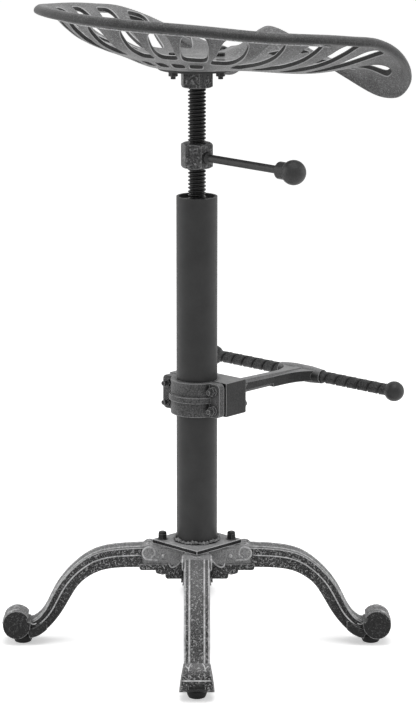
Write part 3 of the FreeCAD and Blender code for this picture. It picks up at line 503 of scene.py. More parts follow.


# One finish for each slot of the record, and a few that one piece has for itself
# top is the level of the painted top light on upward faces
FINISHES = {
    "cast_grey": dict(tones=(0.05, 0.175, 0.5), fineness=700, grain_share=0.75, contrast=1.8, recess=0.7,
                      depth=0.00012, specular=0.28, speckle=0.25, cover=0.1, hollow=True),
    "steel_dark": dict(tones=(0.02, 0.05, 0.16), fineness=420, wear_width=0.0011, wear=0.8, recess=0.5,
                       depth=0.00005, specular=0.35),
    "nut_steel": dict(tones=(0.015, 0.11, 0.42), fineness=420, grain_share=0.8, contrast=1.9,
                      wear_width=0.0016, recess=0.5, depth=0.00008, specular=0.25, speckle=0.5,
                      cover=0.1),
    "bolt_black": dict(tones=(0.01, 0.03, 0.3), fineness=700, wear_width=0.0006, recess_reach=0.003,
                       depth=0.00003, specular=0.25),
    "nut_worn": dict(tones=(0.015, 0.07, 0.45), fineness=700, grain_share=0.8, contrast=1.6,
                     wear_width=0.0009, recess_reach=0.003, depth=0.00003, specular=0.25, cover=0.2),
    "screw_black": dict(tones=(0.008, 0.02, 0.07), fineness=700, wear_width=0.0004, wear=0.6,
                        recess_reach=0.004, recess=0.9, rough=(0.32, 0.45), depth=0.00002, specular=0.35),
    "lever_black": dict(tones=(0.02, 0.045, 0.14), fineness=420, wear_width=0.0009, wear=0.7, recess=0.4,
                        depth=0.00004, specular=0.35),
    "tube_charcoal": dict(tones=(0.022, 0.034, 0.12), fineness=300, grain_share=0.3, wear_width=0.0008,
                          wear=0.7, recess=0.4, rough=(0.42, 0.55), depth=0.00001, specular=0.3),
    "flange_iron": dict(tones=(0.006, 0.03, 0.8), fineness=420, grain_share=0.8, contrast=1.5, top=0.34,
                        wear_width=0.0018, recess_reach=0.006, recess=0.7, specular=0.15, cover=0.2),
    "base_iron": dict(tones=(0.006, 0.1, 0.5), fineness=760, grain_share=0.85, contrast=2.2, top=0.145,
                      wear_width=0.0014, wear=0.9, recess_reach=0.01, recess=1.0, depth=0.0002,
                      specular=0.2, speckle=0.9, legs=True),
    "pad_rubber": dict(tones=(0.008, 0.016, 0.03), fineness=700, wear_width=0.0005, wear=0.2, recess=0.0,
                       rough=(0.6, 0.75), depth=0.00003, specular=0.3),
    "cast_dark": dict(tones=(0.03, 0.14, 0.4), fineness=560, grain_share=0.75, contrast=1.6, top=0.2,
                      wear_width=0.0016, recess_reach=0.008, recess=0.9, depth=0.00012, specular=0.25,
                      cover=0.12),
    "arm_iron": dict(tones=(0.008, 0.034, 0.4), fineness=480, grain_share=0.75, contrast=1.4, top=0.26,
                     wear_width=0.0018, recess_reach=0.008, recess=0.9, depth=0.00012, specular=0.25,
                     cover=0.12),
    "bar_steel": dict(tones=(0.012, 0.075, 0.25), fineness=560, grain_share=0.75, contrast=1.5,
                      wear_width=0.0006, wear=0.7, recess_reach=0.004, recess=0.5, depth=0.00008,
                      specular=0.2, hollow=True),
    "ball_steel": dict(tones=(0.008, 0.02, 0.1), fineness=420, wear_width=0.0006, wear=0.7,
                       recess_reach=0.004, recess=0.5, depth=0.00005),
    "weld_grey": dict(tones=(0.05, 0.3, 0.5), fineness=480, grain_share=0.8, contrast=1.8, wear=0.0,
                      recess_reach=0.003, recess=1.0, depth=0.0002),
    # Bright finish of the raised lines and the bead under the seat's rim: painted highlights, and on the
    # base also rubbed metal
    "bead_bright": dict(tones=(0.3, 0.78, 0.8), fineness=380, grain_share=0.7, contrast=1.4, wear=0.0,
                        recess=0.0),
}
OWN_FINISH = {
    "seat_hub_nut": "nut_steel", "lock_nut": "nut_steel", "base_flange": "flange_iron",
    "clamp_arm": "arm_iron", "clamp_nuts": "nut_worn", "clamp_bolts": "nut_worn",
    "footrest_balls": "ball_steel",
}
MATERIALS = {name: worn_paint_and_painted_light(name, **values) for name, values in FINISHES.items()}
SLOT_OF = {part["node"]: part["material_slot"] for part in frame["record"]["subparts"]}
for node_name, node in nodes.items():
    node.data.materials.clear()
    node.data.materials.append(MATERIALS[OWN_FINISH.get(node_name, SLOT_OF[node_name])])


# Threaded height screw

THREAD_PITCH = 4.5 * MM
THREAD_DEPTH = 2.3 * MM
THREAD_RUNOUT = 2 * MM
THREAD_ROOT, THREAD_FLANK = 0.18, 0.6
THREAD_SIDES = 48
ROWS_A_PITCH = 12


def thread_mesh():
    """A right-hand thread: the radius at a height and angle follows a blunt tooth.

    Tooth position = height / pitch - angle / full turn, wrapped to one. The tooth rises
    and falls in straight flanks with a flat crest and a flat root. Both ends close on the axis."""
    low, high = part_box("height_screw")
    crest = (high.x - low.x) / 2
    turn = circle(THREAD_SIDES)[None, :]
    height = np.arange(low.z, high.z, THREAD_PITCH / ROWS_A_PITCH)[:, None]
    place = (height / THREAD_PITCH - turn / FULL_TURN) % 1.0
    tooth = np.clip((np.abs(place - 0.5) * 2 - THREAD_ROOT) / THREAD_FLANK, 0, 1)
    runout = np.clip((height - low.z) / THREAD_RUNOUT, 0, 1)
    points = around(crest - THREAD_DEPTH * (1 - tooth * runout), turn, height)
    ends = around(0.0, turn, low.z), around(0.0, turn, height[-1, 0])
    return grid_mesh("thread", np.concatenate([ends[0], points, ends[1]]), wrap_columns=True)


piece("thread", thread_mesh(), "seat", MATERIALS["screw_black"], ["height_screw"])


# Footrest bar with its turned groove

GROOVE_PITCH = 17.3 * MM
GROOVE_DEPTH, GROOVE_WIDTH = 1.5 * MM, 1.25 * MM
GROOVE_SHADE_WIDTH = 1.4 * MM
LIP_HEIGHT, LIP_WIDTH, LIP_PLACE = 0.3 * MM, 0.9 * MM, 2.2 * MM
CROWN_HEIGHT, CROWN_REACH = 0.3 * MM, 8.6 * MM
BAR_RINGS, BAR_SIDES = 640, 36


def off_groove(along, turn):
    """How far a spot lies from the groove: place along the bar - pitch * angle / full turn, wrapped
    to half a pitch either way."""
    off = (along - GROOVE_PITCH * turn / FULL_TURN) / GROOVE_PITCH
    return ((off + 0.5) % 1.0 - 0.5) * GROOVE_PITCH


def bar_mesh():
    """A bar with one groove wound round it, whose floor is marked hollow, for painted shade in the
    groove.

    Radius = bar - lip - depth * exp(-(off / width)^2) + a low lip on one side of the groove
    - a slight crown, where off is the distance from the groove."""
    low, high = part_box("footrest_bar")
    middle = (np.array(low) + np.array(high)) / 2
    thick = (high.z - low.z) / 2
    half = (high.y - low.y) / 2 / math.cos(FOOTREST_TURN) - thick * math.tan(FOOTREST_TURN)
    along = np.linspace(-half, half, BAR_RINGS)[:, None]
    turn = circle(BAR_SIDES)
    off = off_groove(along, turn)
    groove = GROOVE_DEPTH * np.exp(-(off / GROOVE_WIDTH) ** 2)
    lip = LIP_HEIGHT * np.exp(-((off + LIP_PLACE) / LIP_WIDTH) ** 2)
    radius = thick - LIP_HEIGHT - groove + lip - CROWN_HEIGHT * (off / CROWN_REACH) ** 2
    along = np.broadcast_to(along, radius.shape)
    points = np.stack([radius * np.cos(turn), along, radius * np.sin(turn)], axis=-1)
    first, last = points[:1] * (0, 1, 0), points[-1:] * (0, 1, 0)
    points = turned(np.concatenate([first, points, last]), FOOTREST_TURN) + middle
    mesh = grid_mesh("bar", points, wrap_columns=True)
    spots = np.empty(len(mesh.vertices) * 3, np.float32)
    mesh.vertices.foreach_get("co", spots)
    spots = turned(spots.reshape(-1, 3) - middle, -FOOTREST_TURN)
    off = off_groove(spots[:, 1], np.arctan2(spots[:, 2], spots[:, 0]))
    hollow = mesh.attributes.new("hollow", "FLOAT", "POINT")
    hollow.data.foreach_set("value", np.exp(-(off / GROOVE_SHADE_WIDTH) ** 2).astype(np.float32))
    return mesh


piece("ribbed_bar", bar_mesh(), "footrest", MATERIALS["bar_steel"], ["footrest_bar"])


# Weld bead at the foot of the tube

WELD_RADIUS = 2.6 * MM
WELD_OUT, WELD_UP = 0.25, 0.45
FINE_WAVES, FINE_RIPPLE = 31, 0.25
BROAD_WAVES, BROAD_RIPPLE = 13, 0.14
DRIFT_WAVES, DRIFT = 3, 1.7
LEAN_WAVES, LEAN = 7, 0.3
TWIST_WAVES, TWIST_CORNERS, TWIST = 9, 3, 0.12
WELD_RINGS, WELD_SIDES = 360, 16


def weld_mesh():
    """A ring of run metal.

    Thickness = 1 + fine ripples, bunched by a slow drift, + broad ripples. The section is a
    little three-cornered, and its corners turn and it leans up and down as it goes round."""
    low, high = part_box("base_weld")
    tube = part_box("column_tube")[1].x
    thickness = min((high.x - tube) / 2, WELD_RADIUS)
    turn = circle(WELD_RINGS)[:, None]
    section = circle(WELD_SIDES)
    ripple = 1 + FINE_RIPPLE * np.cos(FINE_WAVES * turn + DRIFT * np.sin(DRIFT_WAVES * turn)) \
        + BROAD_RIPPLE * np.cos(BROAD_WAVES * turn + 1)
    radius = thickness * ripple * (1 + TWIST * np.cos(TWIST_CORNERS * section + TWIST_WAVES * turn))
    out = tube + thickness * WELD_OUT + radius * np.cos(section)
    up = low.z + thickness * (WELD_UP + LEAN * np.sin(LEAN_WAVES * turn)) + radius * np.sin(section)
    return grid_mesh("weld", around(out, turn, up), wrap_rows=True, wrap_columns=True)


piece("weld_bead", weld_mesh(), "stand", MATERIALS["weld_grey"], ["base_weld"])


# Raised lines of the base casting, bright as painted highlights along its ridges and edges and as rubbed
# metal. Places are in millimetres: out along a leg, sideways and up

LEG_HALF_WIDTH = 15
VOLUTE_CENTRE = (59, 118.6)
VOLUTE_RADIUS = 8.0
VOLUTE_DEGREES = (-100, 250)
VOLUTE_SHRINK_FROM, VOLUTE_SHRINK, VOLUTE_SHRINK_POWER = 110, 0.3, 1.4
VOLUTE_START = (47, 109.6)
VOLUTE_FACE = LEG_HALF_WIDTH + 2.3
LEAF_EDGE = ((34.8, 106.5), (31.4, 100.8), (27, 101.6), (22.4, 105.2), (17.6, 111.5), (14, 117))
LEAF_FACE = LEG_HALF_WIDTH + 1.7
LEAF_BOSS, LEAF_BOSS_RADIUS = (41.6, 115), 2.6
HOOK_CENTRE, HOOK_RADIUS = (202.6, 32.3), 5.6
HOOK_DEGREES = (-48, -135)
HOOK_FACE = LEG_HALF_WIDTH + 0.4
CHEVRON = ((58.5, 5.6, 126.0), (63.5, 0, 125.6))

# The rolled foot, and its lines: degrees from the top of the roll towards the front, then sideways
ROLL_CENTRE = (223.5, 26)
ROLL_RADIUS = 17.1
FORK = ((-12, 6.0), (12, 8.0), (32, 9.6), (46, 10.2))
BARB = ((34, 10.2), (24, 12.2), (16, 14.0))
TOE_DEGREES, TOE_HALF_WIDTH = 84, 18

# Radius of the beads, and how many points each line has
THICK_BEAD, MEDIUM_BEAD, THIN_BEAD, FINE_BEAD = 1.1, 1.0, 0.8, 0.7
SPLINE_POINTS, LEG_LINE_POINTS = 400, 70
VOLUTE_POINTS, LEAD_POINTS, LEAF_POINTS, HOOK_POINTS = 80, 12, 30, 18
FORK_POINTS, BARB_POINTS, TOE_POINTS, CHEVRON_POINTS = 22, 10, 20, 8

# Lines along the leg: share of its depth, from and to, sideways, and the bead's radius
LEG_LINES = ((0.62, 68, 196, LEG_HALF_WIDTH, 0.85), (1.0, 62, 206, 9, 1.15), (0.965, 62, 204, 14.2, 0.8))

# Underside and top of a leg at each station, out and up
LEG_UNDERSIDE = np.array((
    (0, 100), (40, 100), (78, 100), (101, 98.9), (118, 95.8), (131.4, 89.5), (143.7, 80), (153.3, 66.9),
    (162, 51.6), (170.5, 38), (181, 25), (193.1, 14.6), (207, 9.7)))
LEG_TOP = np.array((
    (0, 126), (40, 126), (78, 124.5), (105, 122.2), (128.5, 115.8), (146.4, 104.1), (162.3, 88.1),
    (174.1, 71.4), (182.4, 55), (190.2, 41.1), (198.7, 32.4), (207, 29), (215, 30)))


def at_side(side, out, up):
    """A line in a plane beside the leg's middle."""
    return np.stack([out, np.full(len(out), side), up], axis=-1)


def leg_line(share, first_out, last_out, side):
    """A line along the leg at a share of its depth, between two distances from the column."""
    line = smooth_line(LEG_UNDERSIDE + (LEG_TOP - LEG_UNDERSIDE) * share, SPLINE_POINTS)
    line = line[(line[:, 0] >= first_out) & (line[:, 0] <= last_out)]
    line = line[np.linspace(0, len(line) - 1, LEG_LINE_POINTS).round().astype(int)]
    return at_side(side, line[:, 0], line[:, 1])


def volute_line(side):
    """The curl on the side of the hub: from the leaf's notch along the lower edge, once round, and in.

    Radius = volute radius * (1 - shrink * inward^power), where inward runs from nought past the
    top to one at the inner end."""
    degrees = np.linspace(*VOLUTE_DEGREES, VOLUTE_POINTS)
    inward = np.clip((degrees - VOLUTE_SHRINK_FROM) / (VOLUTE_DEGREES[1] - VOLUTE_SHRINK_FROM), 0, 1)
    radius = VOLUTE_RADIUS * (1 - VOLUTE_SHRINK * inward ** VOLUTE_SHRINK_POWER)
    curl = around(radius, np.radians(degrees), 0.0)[:, :2] + VOLUTE_CENTRE
    lead = np.linspace(VOLUTE_START, curl[0], LEAD_POINTS, endpoint=False)
    line = np.concatenate([lead, curl])
    return at_side(side * VOLUTE_FACE, line[:, 0], line[:, 1])


def roll_point(degrees, side):
    """A spot on the rolled foot."""
    turn = math.radians(degrees)
    out = ROLL_CENTRE[0] + ROLL_RADIUS * math.sin(turn)
    return out, side, ROLL_CENTRE[1] + ROLL_RADIUS * math.cos(turn)


def leg_beads(turn):
    """All raised lines of one leg.

    Each line goes with a direction across which its rings are laid out, and with its bead's radius."""
    sideways = turned((0, 1, 0), turn)
    outwards = turned((1, 0, 0), turn)
    upwards = (0, 0, 1)
    toe = np.linspace(roll_point(TOE_DEGREES, -TOE_HALF_WIDTH), roll_point(TOE_DEGREES, TOE_HALF_WIDTH),
                      TOE_POINTS)
    lines = [(toe, outwards, MEDIUM_BEAD)]
    bosses = []
    for side in (-1, 1):
        leaf = smooth_line(LEAF_EDGE, LEAF_POINTS)
        fork = smooth_line([roll_point(degrees, side * out) for degrees, out in FORK], FORK_POINTS)
        barb = smooth_line([roll_point(degrees, side * out) for degrees, out in BARB], BARB_POINTS)
        chevron = np.linspace(*CHEVRON, CHEVRON_POINTS) * (1, side, 1)
        hook = np.radians(np.linspace(*HOOK_DEGREES, HOOK_POINTS))
        hook = around(HOOK_RADIUS, hook, 0.0)[:, :2] + HOOK_CENTRE
        lines += [
            (volute_line(side), sideways, THICK_BEAD),
            (at_side(side * LEAF_FACE, leaf[:, 0], leaf[:, 1]), sideways, MEDIUM_BEAD),
            (fork, sideways + outwards, THIN_BEAD),
            (barb, outwards, THIN_BEAD),
            (chevron, upwards, THICK_BEAD),
            (at_side(side * HOOK_FACE, hook[:, 0], hook[:, 1]), sideways, FINE_BEAD),
        ]
        for share, first_out, last_out, across, radius in LEG_LINES:
            lines.append((leg_line(share, first_out, last_out, side * across), sideways, radius))
        centre = (LEAF_BOSS[0], side * LEAF_FACE, LEAF_BOSS[1])
        bosses.append(boss("boss", turned(centre, turn) * MM, LEAF_BOSS_RADIUS * MM))
    return bosses + [bead("line", turned(line, turn) * MM, square_to, radius * MM)
                     for line, square_to, radius in lines]


BEADS = [mesh for turn in LEG_TURNS for mesh in leg_beads(turn)]
piece("raised_highlight_lines", joined("raised_highlight_lines", BEADS), "stand", MATERIALS["bead_bright"])


# Seat casting: the pan of the solids with rolled slot edges and a painted highlight line under the rim,
# in millimetres

SEAT_DISC_RADIUS = 47
SEAT_WALL = 6
SEAT_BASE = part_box("seat_mount_plate")[1].z / MM + SEAT_WALL
SEAT_DIP = 8
LOBE_DROP, LOBE_TUCK = 30, 0.02
TUCK_POWER, DROP_POWER, SAG_POWER = 5, 7, 0.8
RIM_FADE_DEGREES = (40, 64)
SLOPE_STEP = 0.01
UNDER_STEPS, UNDER_EASE = 5, 0.9
DISC_SIDES, RIM_LINE_POINTS = 96, 300

# Angle from the front, then the edge's radius, the bowl's rise, the edge's drop and the floor's sag
SEAT_STATIONS = np.array((
    (0, 130, 40, 2, 0), (10, 141, 35, 6, 0), (18, 165, 24, 19, 1), (25, 197, 14, 33, 3),
    (32, 228, 10, 48, 6), (38, 248, 12, 50, 9), (44, 259, 20, 44, 12), (51, 264, 30, 30, 14),
    (60, 253, 42, 13, 14), (70, 239, 50, 2, 12), (80, 227, 55, 0, 9), (90, 217, 60, 0, 6),
    (110, 204, 67, 0, 1), (135, 191, 76, 0, 0), (160, 181, 79, 0, 0), (180, 177, 79, 0, 0)), float)
BOWL_STEPS = np.array((
    (0, 0), (0.1, 0.02), (0.32, 0.2), (0.47, 0.31), (0.63, 0.46), (0.74, 0.64), (0.81, 0.79), (0.88, 0.9),
    (1, 1)), float)

# The thick middle: radius, and height above the pan's underside
DISC_PROFILE = np.array((
    (0, 7.2), (20, 7.2), (48.6, 7.2), (49.6, 6.8), (50, 6), (50, 0), (20, 0), (0, 0)))

# Share, depth and reach outwards of the rings round the rolled rim, and how dark each strip stays: darker
# paint on the band, and painted shadow in the strips just under it
RIM_RINGS = np.array((
    (0.94, 0, 0, 0), (0.955, 0.2, 0, 0), (0.97, 0.8, 0, 0), (0.983, 1.9, 0.2, 0.1),
    (0.993, 3.6, 0.9, 0.45), (1, 5.6, 1.8, 0.65), (1, 7.8, 2.6, 0.75), (1, 9.8, 2.6, 0.75),
    (0.998, 11.4, 1.8, 0.75), (0.99, 12.4, 0.6, 0.8), (0.975, 12.6, 0, 0.8), (0.962, 12.2, 0, 0.9),
    (0.953, 11, 0, 0.9), (0.95, 9, 0, 0.9), (0.947, 7.4, 0, 0.9), (0.943, 6.6, 0, 0.7),
    (0.936, 6.2, 0, 0.3), (0.928, 6.0, 0, 0)))
# The bright bead under the rim is a painted highlight: its share, radius and lift, and the degrees it
# runs over
RIM_LINE_SHARE, RIM_LINE_RADIUS, RIM_LINE_LIFT = 0.828, 1.1, 0.2
RIM_LINE_DEGREES = (128, 278)

# The seat is a lattice of rows of share and columns of one degree, with a cell cut out for each slot.
# Each row: cell from and to, slot from and to, in degrees from the front, then the slot's ends as shares
SHARE_STEP = 0.02
CELL_ROWS = 46
INNER_MARGIN, OUTER_MARGIN = 0.03, 0.02
LONG_SLOTS = (
    (16, 25, 18.5, 22.5, 0.4, 0.76), (28, 37, 30.5, 34.5, 0.42, 0.8), (44, 58, 47.5, 54.5, 0.5, 0.86),
    (58, 72, 62, 69.5, 0.44, 0.89), (72, 87, 75.5, 84, 0.36, 0.895), (87, 102, 91, 99, 0.28, 0.895),
    (102, 118, 105.5, 115, 0.29, 0.89), (118, 134, 121, 131, 0.36, 0.88),
    (134, 150, 137.5, 148, 0.42, 0.86), (150, 166, 152.5, 163, 0.44, 0.855),
    (166, 181, 168.5, 178.5, 0.47, 0.85), (187, 201, 188.8, 198.4, 0.45, 0.85),
    (201, 216, 203.2, 213.5, 0.46, 0.85), (216, 232, 217.6, 229.8, 0.42, 0.85),
    (232, 249, 234.4, 246.4, 0.34, 0.85), (249, 264, 251.7, 261, 0.23, 0.85),
    (264, 279, 268, 276, 0.25, 0.86), (279, 293, 282.6, 290.5, 0.34, 0.89),
    (293, 307, 296, 303, 0.42, 0.875), (309, 323, 313, 320, 0.5, 0.885),
    (323, 332, 325.5, 329.5, 0.42, 0.8), (335, 344, 337.5, 341.5, 0.4, 0.76),
)
SHORT_CELL, SHORT_RIB = 15, 2.5
SHORT_ENDS = (0.19, 0.32)
SHORT_SLOTS = tuple(
    (first, first + SHORT_CELL, first + SHORT_RIB, first + SHORT_CELL - SHORT_RIB, *SHORT_ENDS)
    for first in range(142, 232, SHORT_CELL))

# A slot's edge is a rounded box. Its sides open out towards the middle of the seat by a power of the
# radius, which grows by RADIUS_GROWTH times the disc's from the disc to the rim
CORNER_POWER = 4
RADIUS_GROWTH = 3.2
SLOT_FLARE = 0.6
SLOT_WIDEN = 0.5
SLOT_EASE, EASE_LIMIT = 0.9, 0.3
RING_PLACES = np.array([[0.0], [0.3], [0.65]])
# Hollow of the rubbed slot edge, and of the slot wall: painted shade in the slot over its unrubbed black
# paint
RUBBED_EDGE, WALL_SHADE_AND_PAINT = -0.75, 0.85


def read_table(table, place, column):
    """Read a table at any place along a smooth curve: cubic pieces with the neighbours' slopes."""
    known, value = table[:, 0], table[:, column]
    slope = np.zeros(len(known))
    slope[1:-1] = (value[2:] - value[:-2]) / (known[2:] - known[:-2])
    index = np.clip(np.searchsorted(known, place, side="right") - 1, 0, len(known) - 2)
    span = known[index + 1] - known[index]
    t = (place - known[index]) / span
    return value[index] * (2 * t ** 3 - 3 * t ** 2 + 1) \
        + slope[index] * span * (t ** 3 - 2 * t ** 2 + t) \
        + value[index + 1] * (3 * t ** 2 - 2 * t ** 3) \
        + slope[index + 1] * span * (t ** 3 - t ** 2)


def from_front(degrees):
    """Degrees away from the front, the same on both sides."""
    return np.abs((degrees + 180) % 360 - 180)


def seat_point(share, degrees):
    """Upper face of the pan.

    Radius = disc + (edge - disc) * share, drawn in a little where a lobe drops. Height = bowl curve
    * (rise - dip) - drop * share^7 - sag * sin^2(pi * share^0.8)."""
    turn = from_front(degrees)
    edge, rise, drop, sag = (read_table(SEAT_STATIONS, turn, column) for column in (1, 2, 3, 4))
    outward = share * (1 - LOBE_TUCK * np.minimum(1, drop / LOBE_DROP) * share ** TUCK_POWER)
    radius = SEAT_DISC_RADIUS + (edge - SEAT_DISC_RADIUS) * outward
    height = (rise - SEAT_DIP) * read_table(BOWL_STEPS, share, 1) - drop * share ** DROP_POWER
    height = height - sag * np.sin(math.pi * share ** SAG_POWER) ** 2
    return around(radius, np.radians(degrees), SEAT_BASE + height)


def rim_fade(degrees):
    """One round the back of the rim, and a smooth step down to nought along the front of the lobes."""
    low, high = RIM_FADE_DEGREES
    share = np.clip((from_front(degrees) - low) / (high - low), 0, 1)
    return share * share * (3 - 2 * share)


def seat_surface(share, degrees, depth=0.0, outward=0.0):
    """A point under the upper face, square to it, and moved outwards along it.

    What is deeper than the wall fades out along the front of the lobes."""
    share, degrees = np.broadcast_arrays(np.asarray(share, float), np.asarray(degrees, float))
    low = np.maximum(share - SLOPE_STEP, 0)
    high = np.minimum(share + SLOPE_STEP, 1)
    normal = unit(np.cross(seat_point(high, degrees) - seat_point(low, degrees),
                           seat_point(share, degrees + 1) - seat_point(share, degrees - 1)))
    normal = np.where(normal[..., 2:] < 0, -normal, normal)
    heading = around(1.0, np.radians(degrees), 0.0)
    side = unit(heading - normal * (heading * normal).sum(axis=-1, keepdims=True))
    deep = np.minimum(depth, SEAT_WALL) + np.maximum(0, np.asarray(depth) - SEAT_WALL) * rim_fade(degrees)
    return seat_point(share, degrees) - normal * deep[..., None] + side * np.asarray(outward)[..., None]


def straight_under(share, degrees):
    """Where the lower face lies straight under a place on the upper one: a few steps towards it."""
    target = seat_surface(share, degrees)
    below_share, below_degrees = share.copy(), degrees.copy()
    for _ in range(UNDER_STEPS):
        miss = target - seat_surface(below_share, below_degrees, SEAT_WALL)
        angle = np.radians(below_degrees)
        outwards = miss[..., 0] * np.cos(angle) + miss[..., 1] * np.sin(angle)
        sideways = miss[..., 1] * np.cos(angle) - miss[..., 0] * np.sin(angle)
        edge = read_table(SEAT_STATIONS, from_front(below_degrees), 1)
        below_share = below_share + UNDER_EASE * outwards / (edge - SEAT_DISC_RADIUS)
        swing = np.degrees(sideways / np.hypot(target[..., 0], target[..., 1]))
        below_degrees = below_degrees + UNDER_EASE * swing
    return np.stack([below_share, below_degrees])


def rings_part(points, hollow):
    """Points, faces and hollow values of a skin whose rings close on themselves."""
    quads = grid_quads(*points.shape[:2], wrap_columns=True).reshape(-1, 4)
    return points.reshape(-1, 3), quads, np.broadcast_to(hollow, len(quads))


def cell_border(cell_from, cell_to, low_row, high_row):
    """The lattice points round a cell, as share and degrees, and the same on a box from -1 to 1."""
    wide, tall = cell_to - cell_from, high_row - low_row
    row = np.concatenate([np.full(wide, low_row), np.arange(low_row, high_row), np.full(wide, high_row),
                          np.arange(high_row, low_row, -1)])
    column = np.concatenate([np.arange(cell_from, cell_to), np.full(tall, cell_to),
                             np.arange(cell_to, cell_from, -1), np.full(tall, cell_from)])
    border = np.stack([row * SHARE_STEP, column.astype(float)])
    middle = np.array([[(low_row + high_row) / 2 * SHARE_STEP], [(cell_from + cell_to) / 2]])
    half = np.array([[tall / 2 * SHARE_STEP], [wide / 2]])
    return border, (border - middle) / half


def slot_edge(box, slot_from, slot_to, inner, outer):
    """The slot's edge: q / (|x|^4 + |y|^4)^(1/4) for each place q on the box, in share and degrees."""
    box = box / (np.abs(box) ** CORNER_POWER).sum(axis=0) ** (1 / CORNER_POWER)
    middle = (inner + outer) / 2
    share = middle + box[0] * (outer - inner) / 2
    flare = ((1 + RADIUS_GROWTH * middle) / (1 + RADIUS_GROWTH * share)) ** SLOT_FLARE
    turn = (slot_from + slot_to) / 2 + box[1] * ((slot_to - slot_from) / 2 + SLOT_WIDEN) * flare
    return np.stack([share, turn])


def slot_parts(cell, slot, low_row, high_row):
    """Both faces round one slot, in rings from its eased edge out to the cell's border, and its wall."""
    border, box = cell_border(*cell, low_row, high_row)
    edge = slot_edge(box, *slot)
    parts = []
    rims = []
    for depth, edge_depth in ((0, SLOT_EASE), (SEAT_WALL, SEAT_WALL - SLOT_EASE)):
        here = straight_under(*edge) if depth else edge
        reach = np.linalg.norm(seat_surface(*border, depth) - seat_surface(*here, depth), axis=-1)
        ease = np.minimum(SLOT_EASE / reach, EASE_LIMIT)
        between = RING_PLACES + (1 - RING_PLACES) * ease
        steps = np.vstack([np.zeros_like(ease), between, np.ones_like(ease)])
        share, degrees = here[:, None, :] + steps * (border - here)[:, None, :]
        depths = np.full(steps.shape, float(depth))
        depths[0] = edge_depth
        points = seat_surface(share, degrees, depths)
        rims.append(points[0])
        strips = np.zeros(len(steps) - 1)
        strips[0] = RUBBED_EDGE
        parts.append(rings_part(points, np.repeat(strips, steps.shape[1])))
    return parts + [rings_part(np.stack(rims), WALL_SHADE_AND_PAINT)]


def cell_rows(inner, outer, long):
    """First and last row of a slot's cell. A long slot's cell runs out to the last row of all."""
    low_row = math.floor((inner - INNER_MARGIN) / SHARE_STEP)
    high_row = CELL_ROWS if long else math.ceil((outer + OUTER_MARGIN) / SHARE_STEP)
    return low_row, high_row


def seat_mesh():
    """The pan as one closed skin: two faces with slots, the rolled rim, and the edge at the disc."""
    columns = np.arange(360.0)
    share, degrees = np.meshgrid(np.arange(CELL_ROWS + 1) * SHARE_STEP, columns, indexing="ij")
    faces = grid_quads(*share.shape, wrap_columns=True)
    plain = np.ones(faces.shape[:2], bool)
    parts = []
    for slot in LONG_SLOTS + SHORT_SLOTS:
        cell_from, cell_to, slot_from, slot_to, inner, outer = slot
        low_row, high_row = cell_rows(inner, outer, slot in LONG_SLOTS)
        plain[low_row:high_row, cell_from:cell_to] = False
        parts += slot_parts((cell_from, cell_to), (slot_from, slot_to, inner, outer), low_row, high_row)
    upper = seat_surface(share, degrees)
    lower = seat_surface(share, degrees, SEAT_WALL)
    for skin in (upper, lower):
        parts.append((skin.reshape(-1, 3), faces[plain], np.zeros(plain.sum())))
    rim = seat_surface(RIM_RINGS[:, :1], columns, RIM_RINGS[:, 1:2], RIM_RINGS[:, 2:3])
    dark = np.concatenate([RIM_RINGS[:, 3], [0.0]])[:, None] * rim_fade(columns + 0.5)
    parts.append(rings_part(np.concatenate([upper[-1:], rim, lower[-1:]]), dark.reshape(-1)))
    parts.append(rings_part(np.stack([upper[0], lower[0]]), 0.0))
    points, quads, hollow = zip(*parts)
    starts = np.cumsum([0] + [len(part) for part in points[:-1]])
    quads = [part + start for part, start in zip(quads, starts)]
    return quad_mesh("seat", np.concatenate(points) * MM, np.concatenate(quads), np.concatenate(hollow))


def disc_mesh():
    """The thick middle of the seat: a turned profile."""
    points = around(DISC_PROFILE[:, :1], circle(DISC_SIDES), SEAT_BASE - SEAT_WALL + DISC_PROFILE[:, 1:])
    return grid_mesh("disc", points * MM, wrap_columns=True)


def rim_line_mesh():
    """A thin bright bead round the underside, between the rim and the slots: a painted highlight where
    light catches the underside behind the rim.
    """
    degrees = np.linspace(*RIM_LINE_DEGREES, RIM_LINE_POINTS)
    line = seat_surface(RIM_LINE_SHARE, degrees, SEAT_WALL + RIM_LINE_LIFT)
    return bead("rim_highlight", line * MM, (0, 0, 1), RIM_LINE_RADIUS * MM)


piece("rim_highlight", rim_line_mesh(), "seat", MATERIALS["bead_bright"])
piece("seat_casting", joined("seat_casting", [seat_mesh(), disc_mesh()]), "seat",
      MATERIALS["cast_grey"], ["seat_pan"])


# Floor, light and camera. The camera is fitted to the column, the feet and the seat rim of the photograph

CAMERA_DISTANCE = 4.190
CAMERA_PITCH = math.radians(12.98)
CAMERA_AIM = Vector((0, 0, 0.3681))
CAMERA_LENS = 174.9
CAMERA_SENSOR = 36
CAMERA_REACH = 50
PICTURE_HEIGHT = 706
PICTURE_CENTRE = 208.0
AXIS_PIXEL = 196.9
FLOOR_HALF_SIZE = 12.0
FLOOR_TONE = 0.86
FLOOR_LIFT = 0.645
# Painted contact shadow: the floor's lift is less where the feet are near
CONTACT_SHADOW_REACH, CONTACT_SHADOW_RANGE, CONTACT_SHADOW_SHARE = 0.06, (0.4, 0.95), 0.7
SKY_LIGHT = 0.42
LAMP_AIM = Vector((0, 0, 0.45))

# Name, place, width and height, and power in watts
LAMPS = (
    ("overhead", (-0.2, -0.3, 2.7), (1.8, 1.8), 40),
    ("left_side", (-1.6, 1.9, 1.2), (1.0, 1.8), 14),
    ("right_side", (1.9, -1.6, 1.2), (1.0, 1.8), 12),
)


def seen_rays(tree):
    """One where the camera, a reflection or a ray through glass looks, and nought for light itself."""
    path = add_node(tree, "ShaderNodeLightPath")
    seen = calculate(tree, "MAXIMUM", path.outputs["Is Camera Ray"], path.outputs["Is Glossy Ray"])
    return calculate(tree, "MAXIMUM", seen, path.outputs["Is Transmission Ray"])


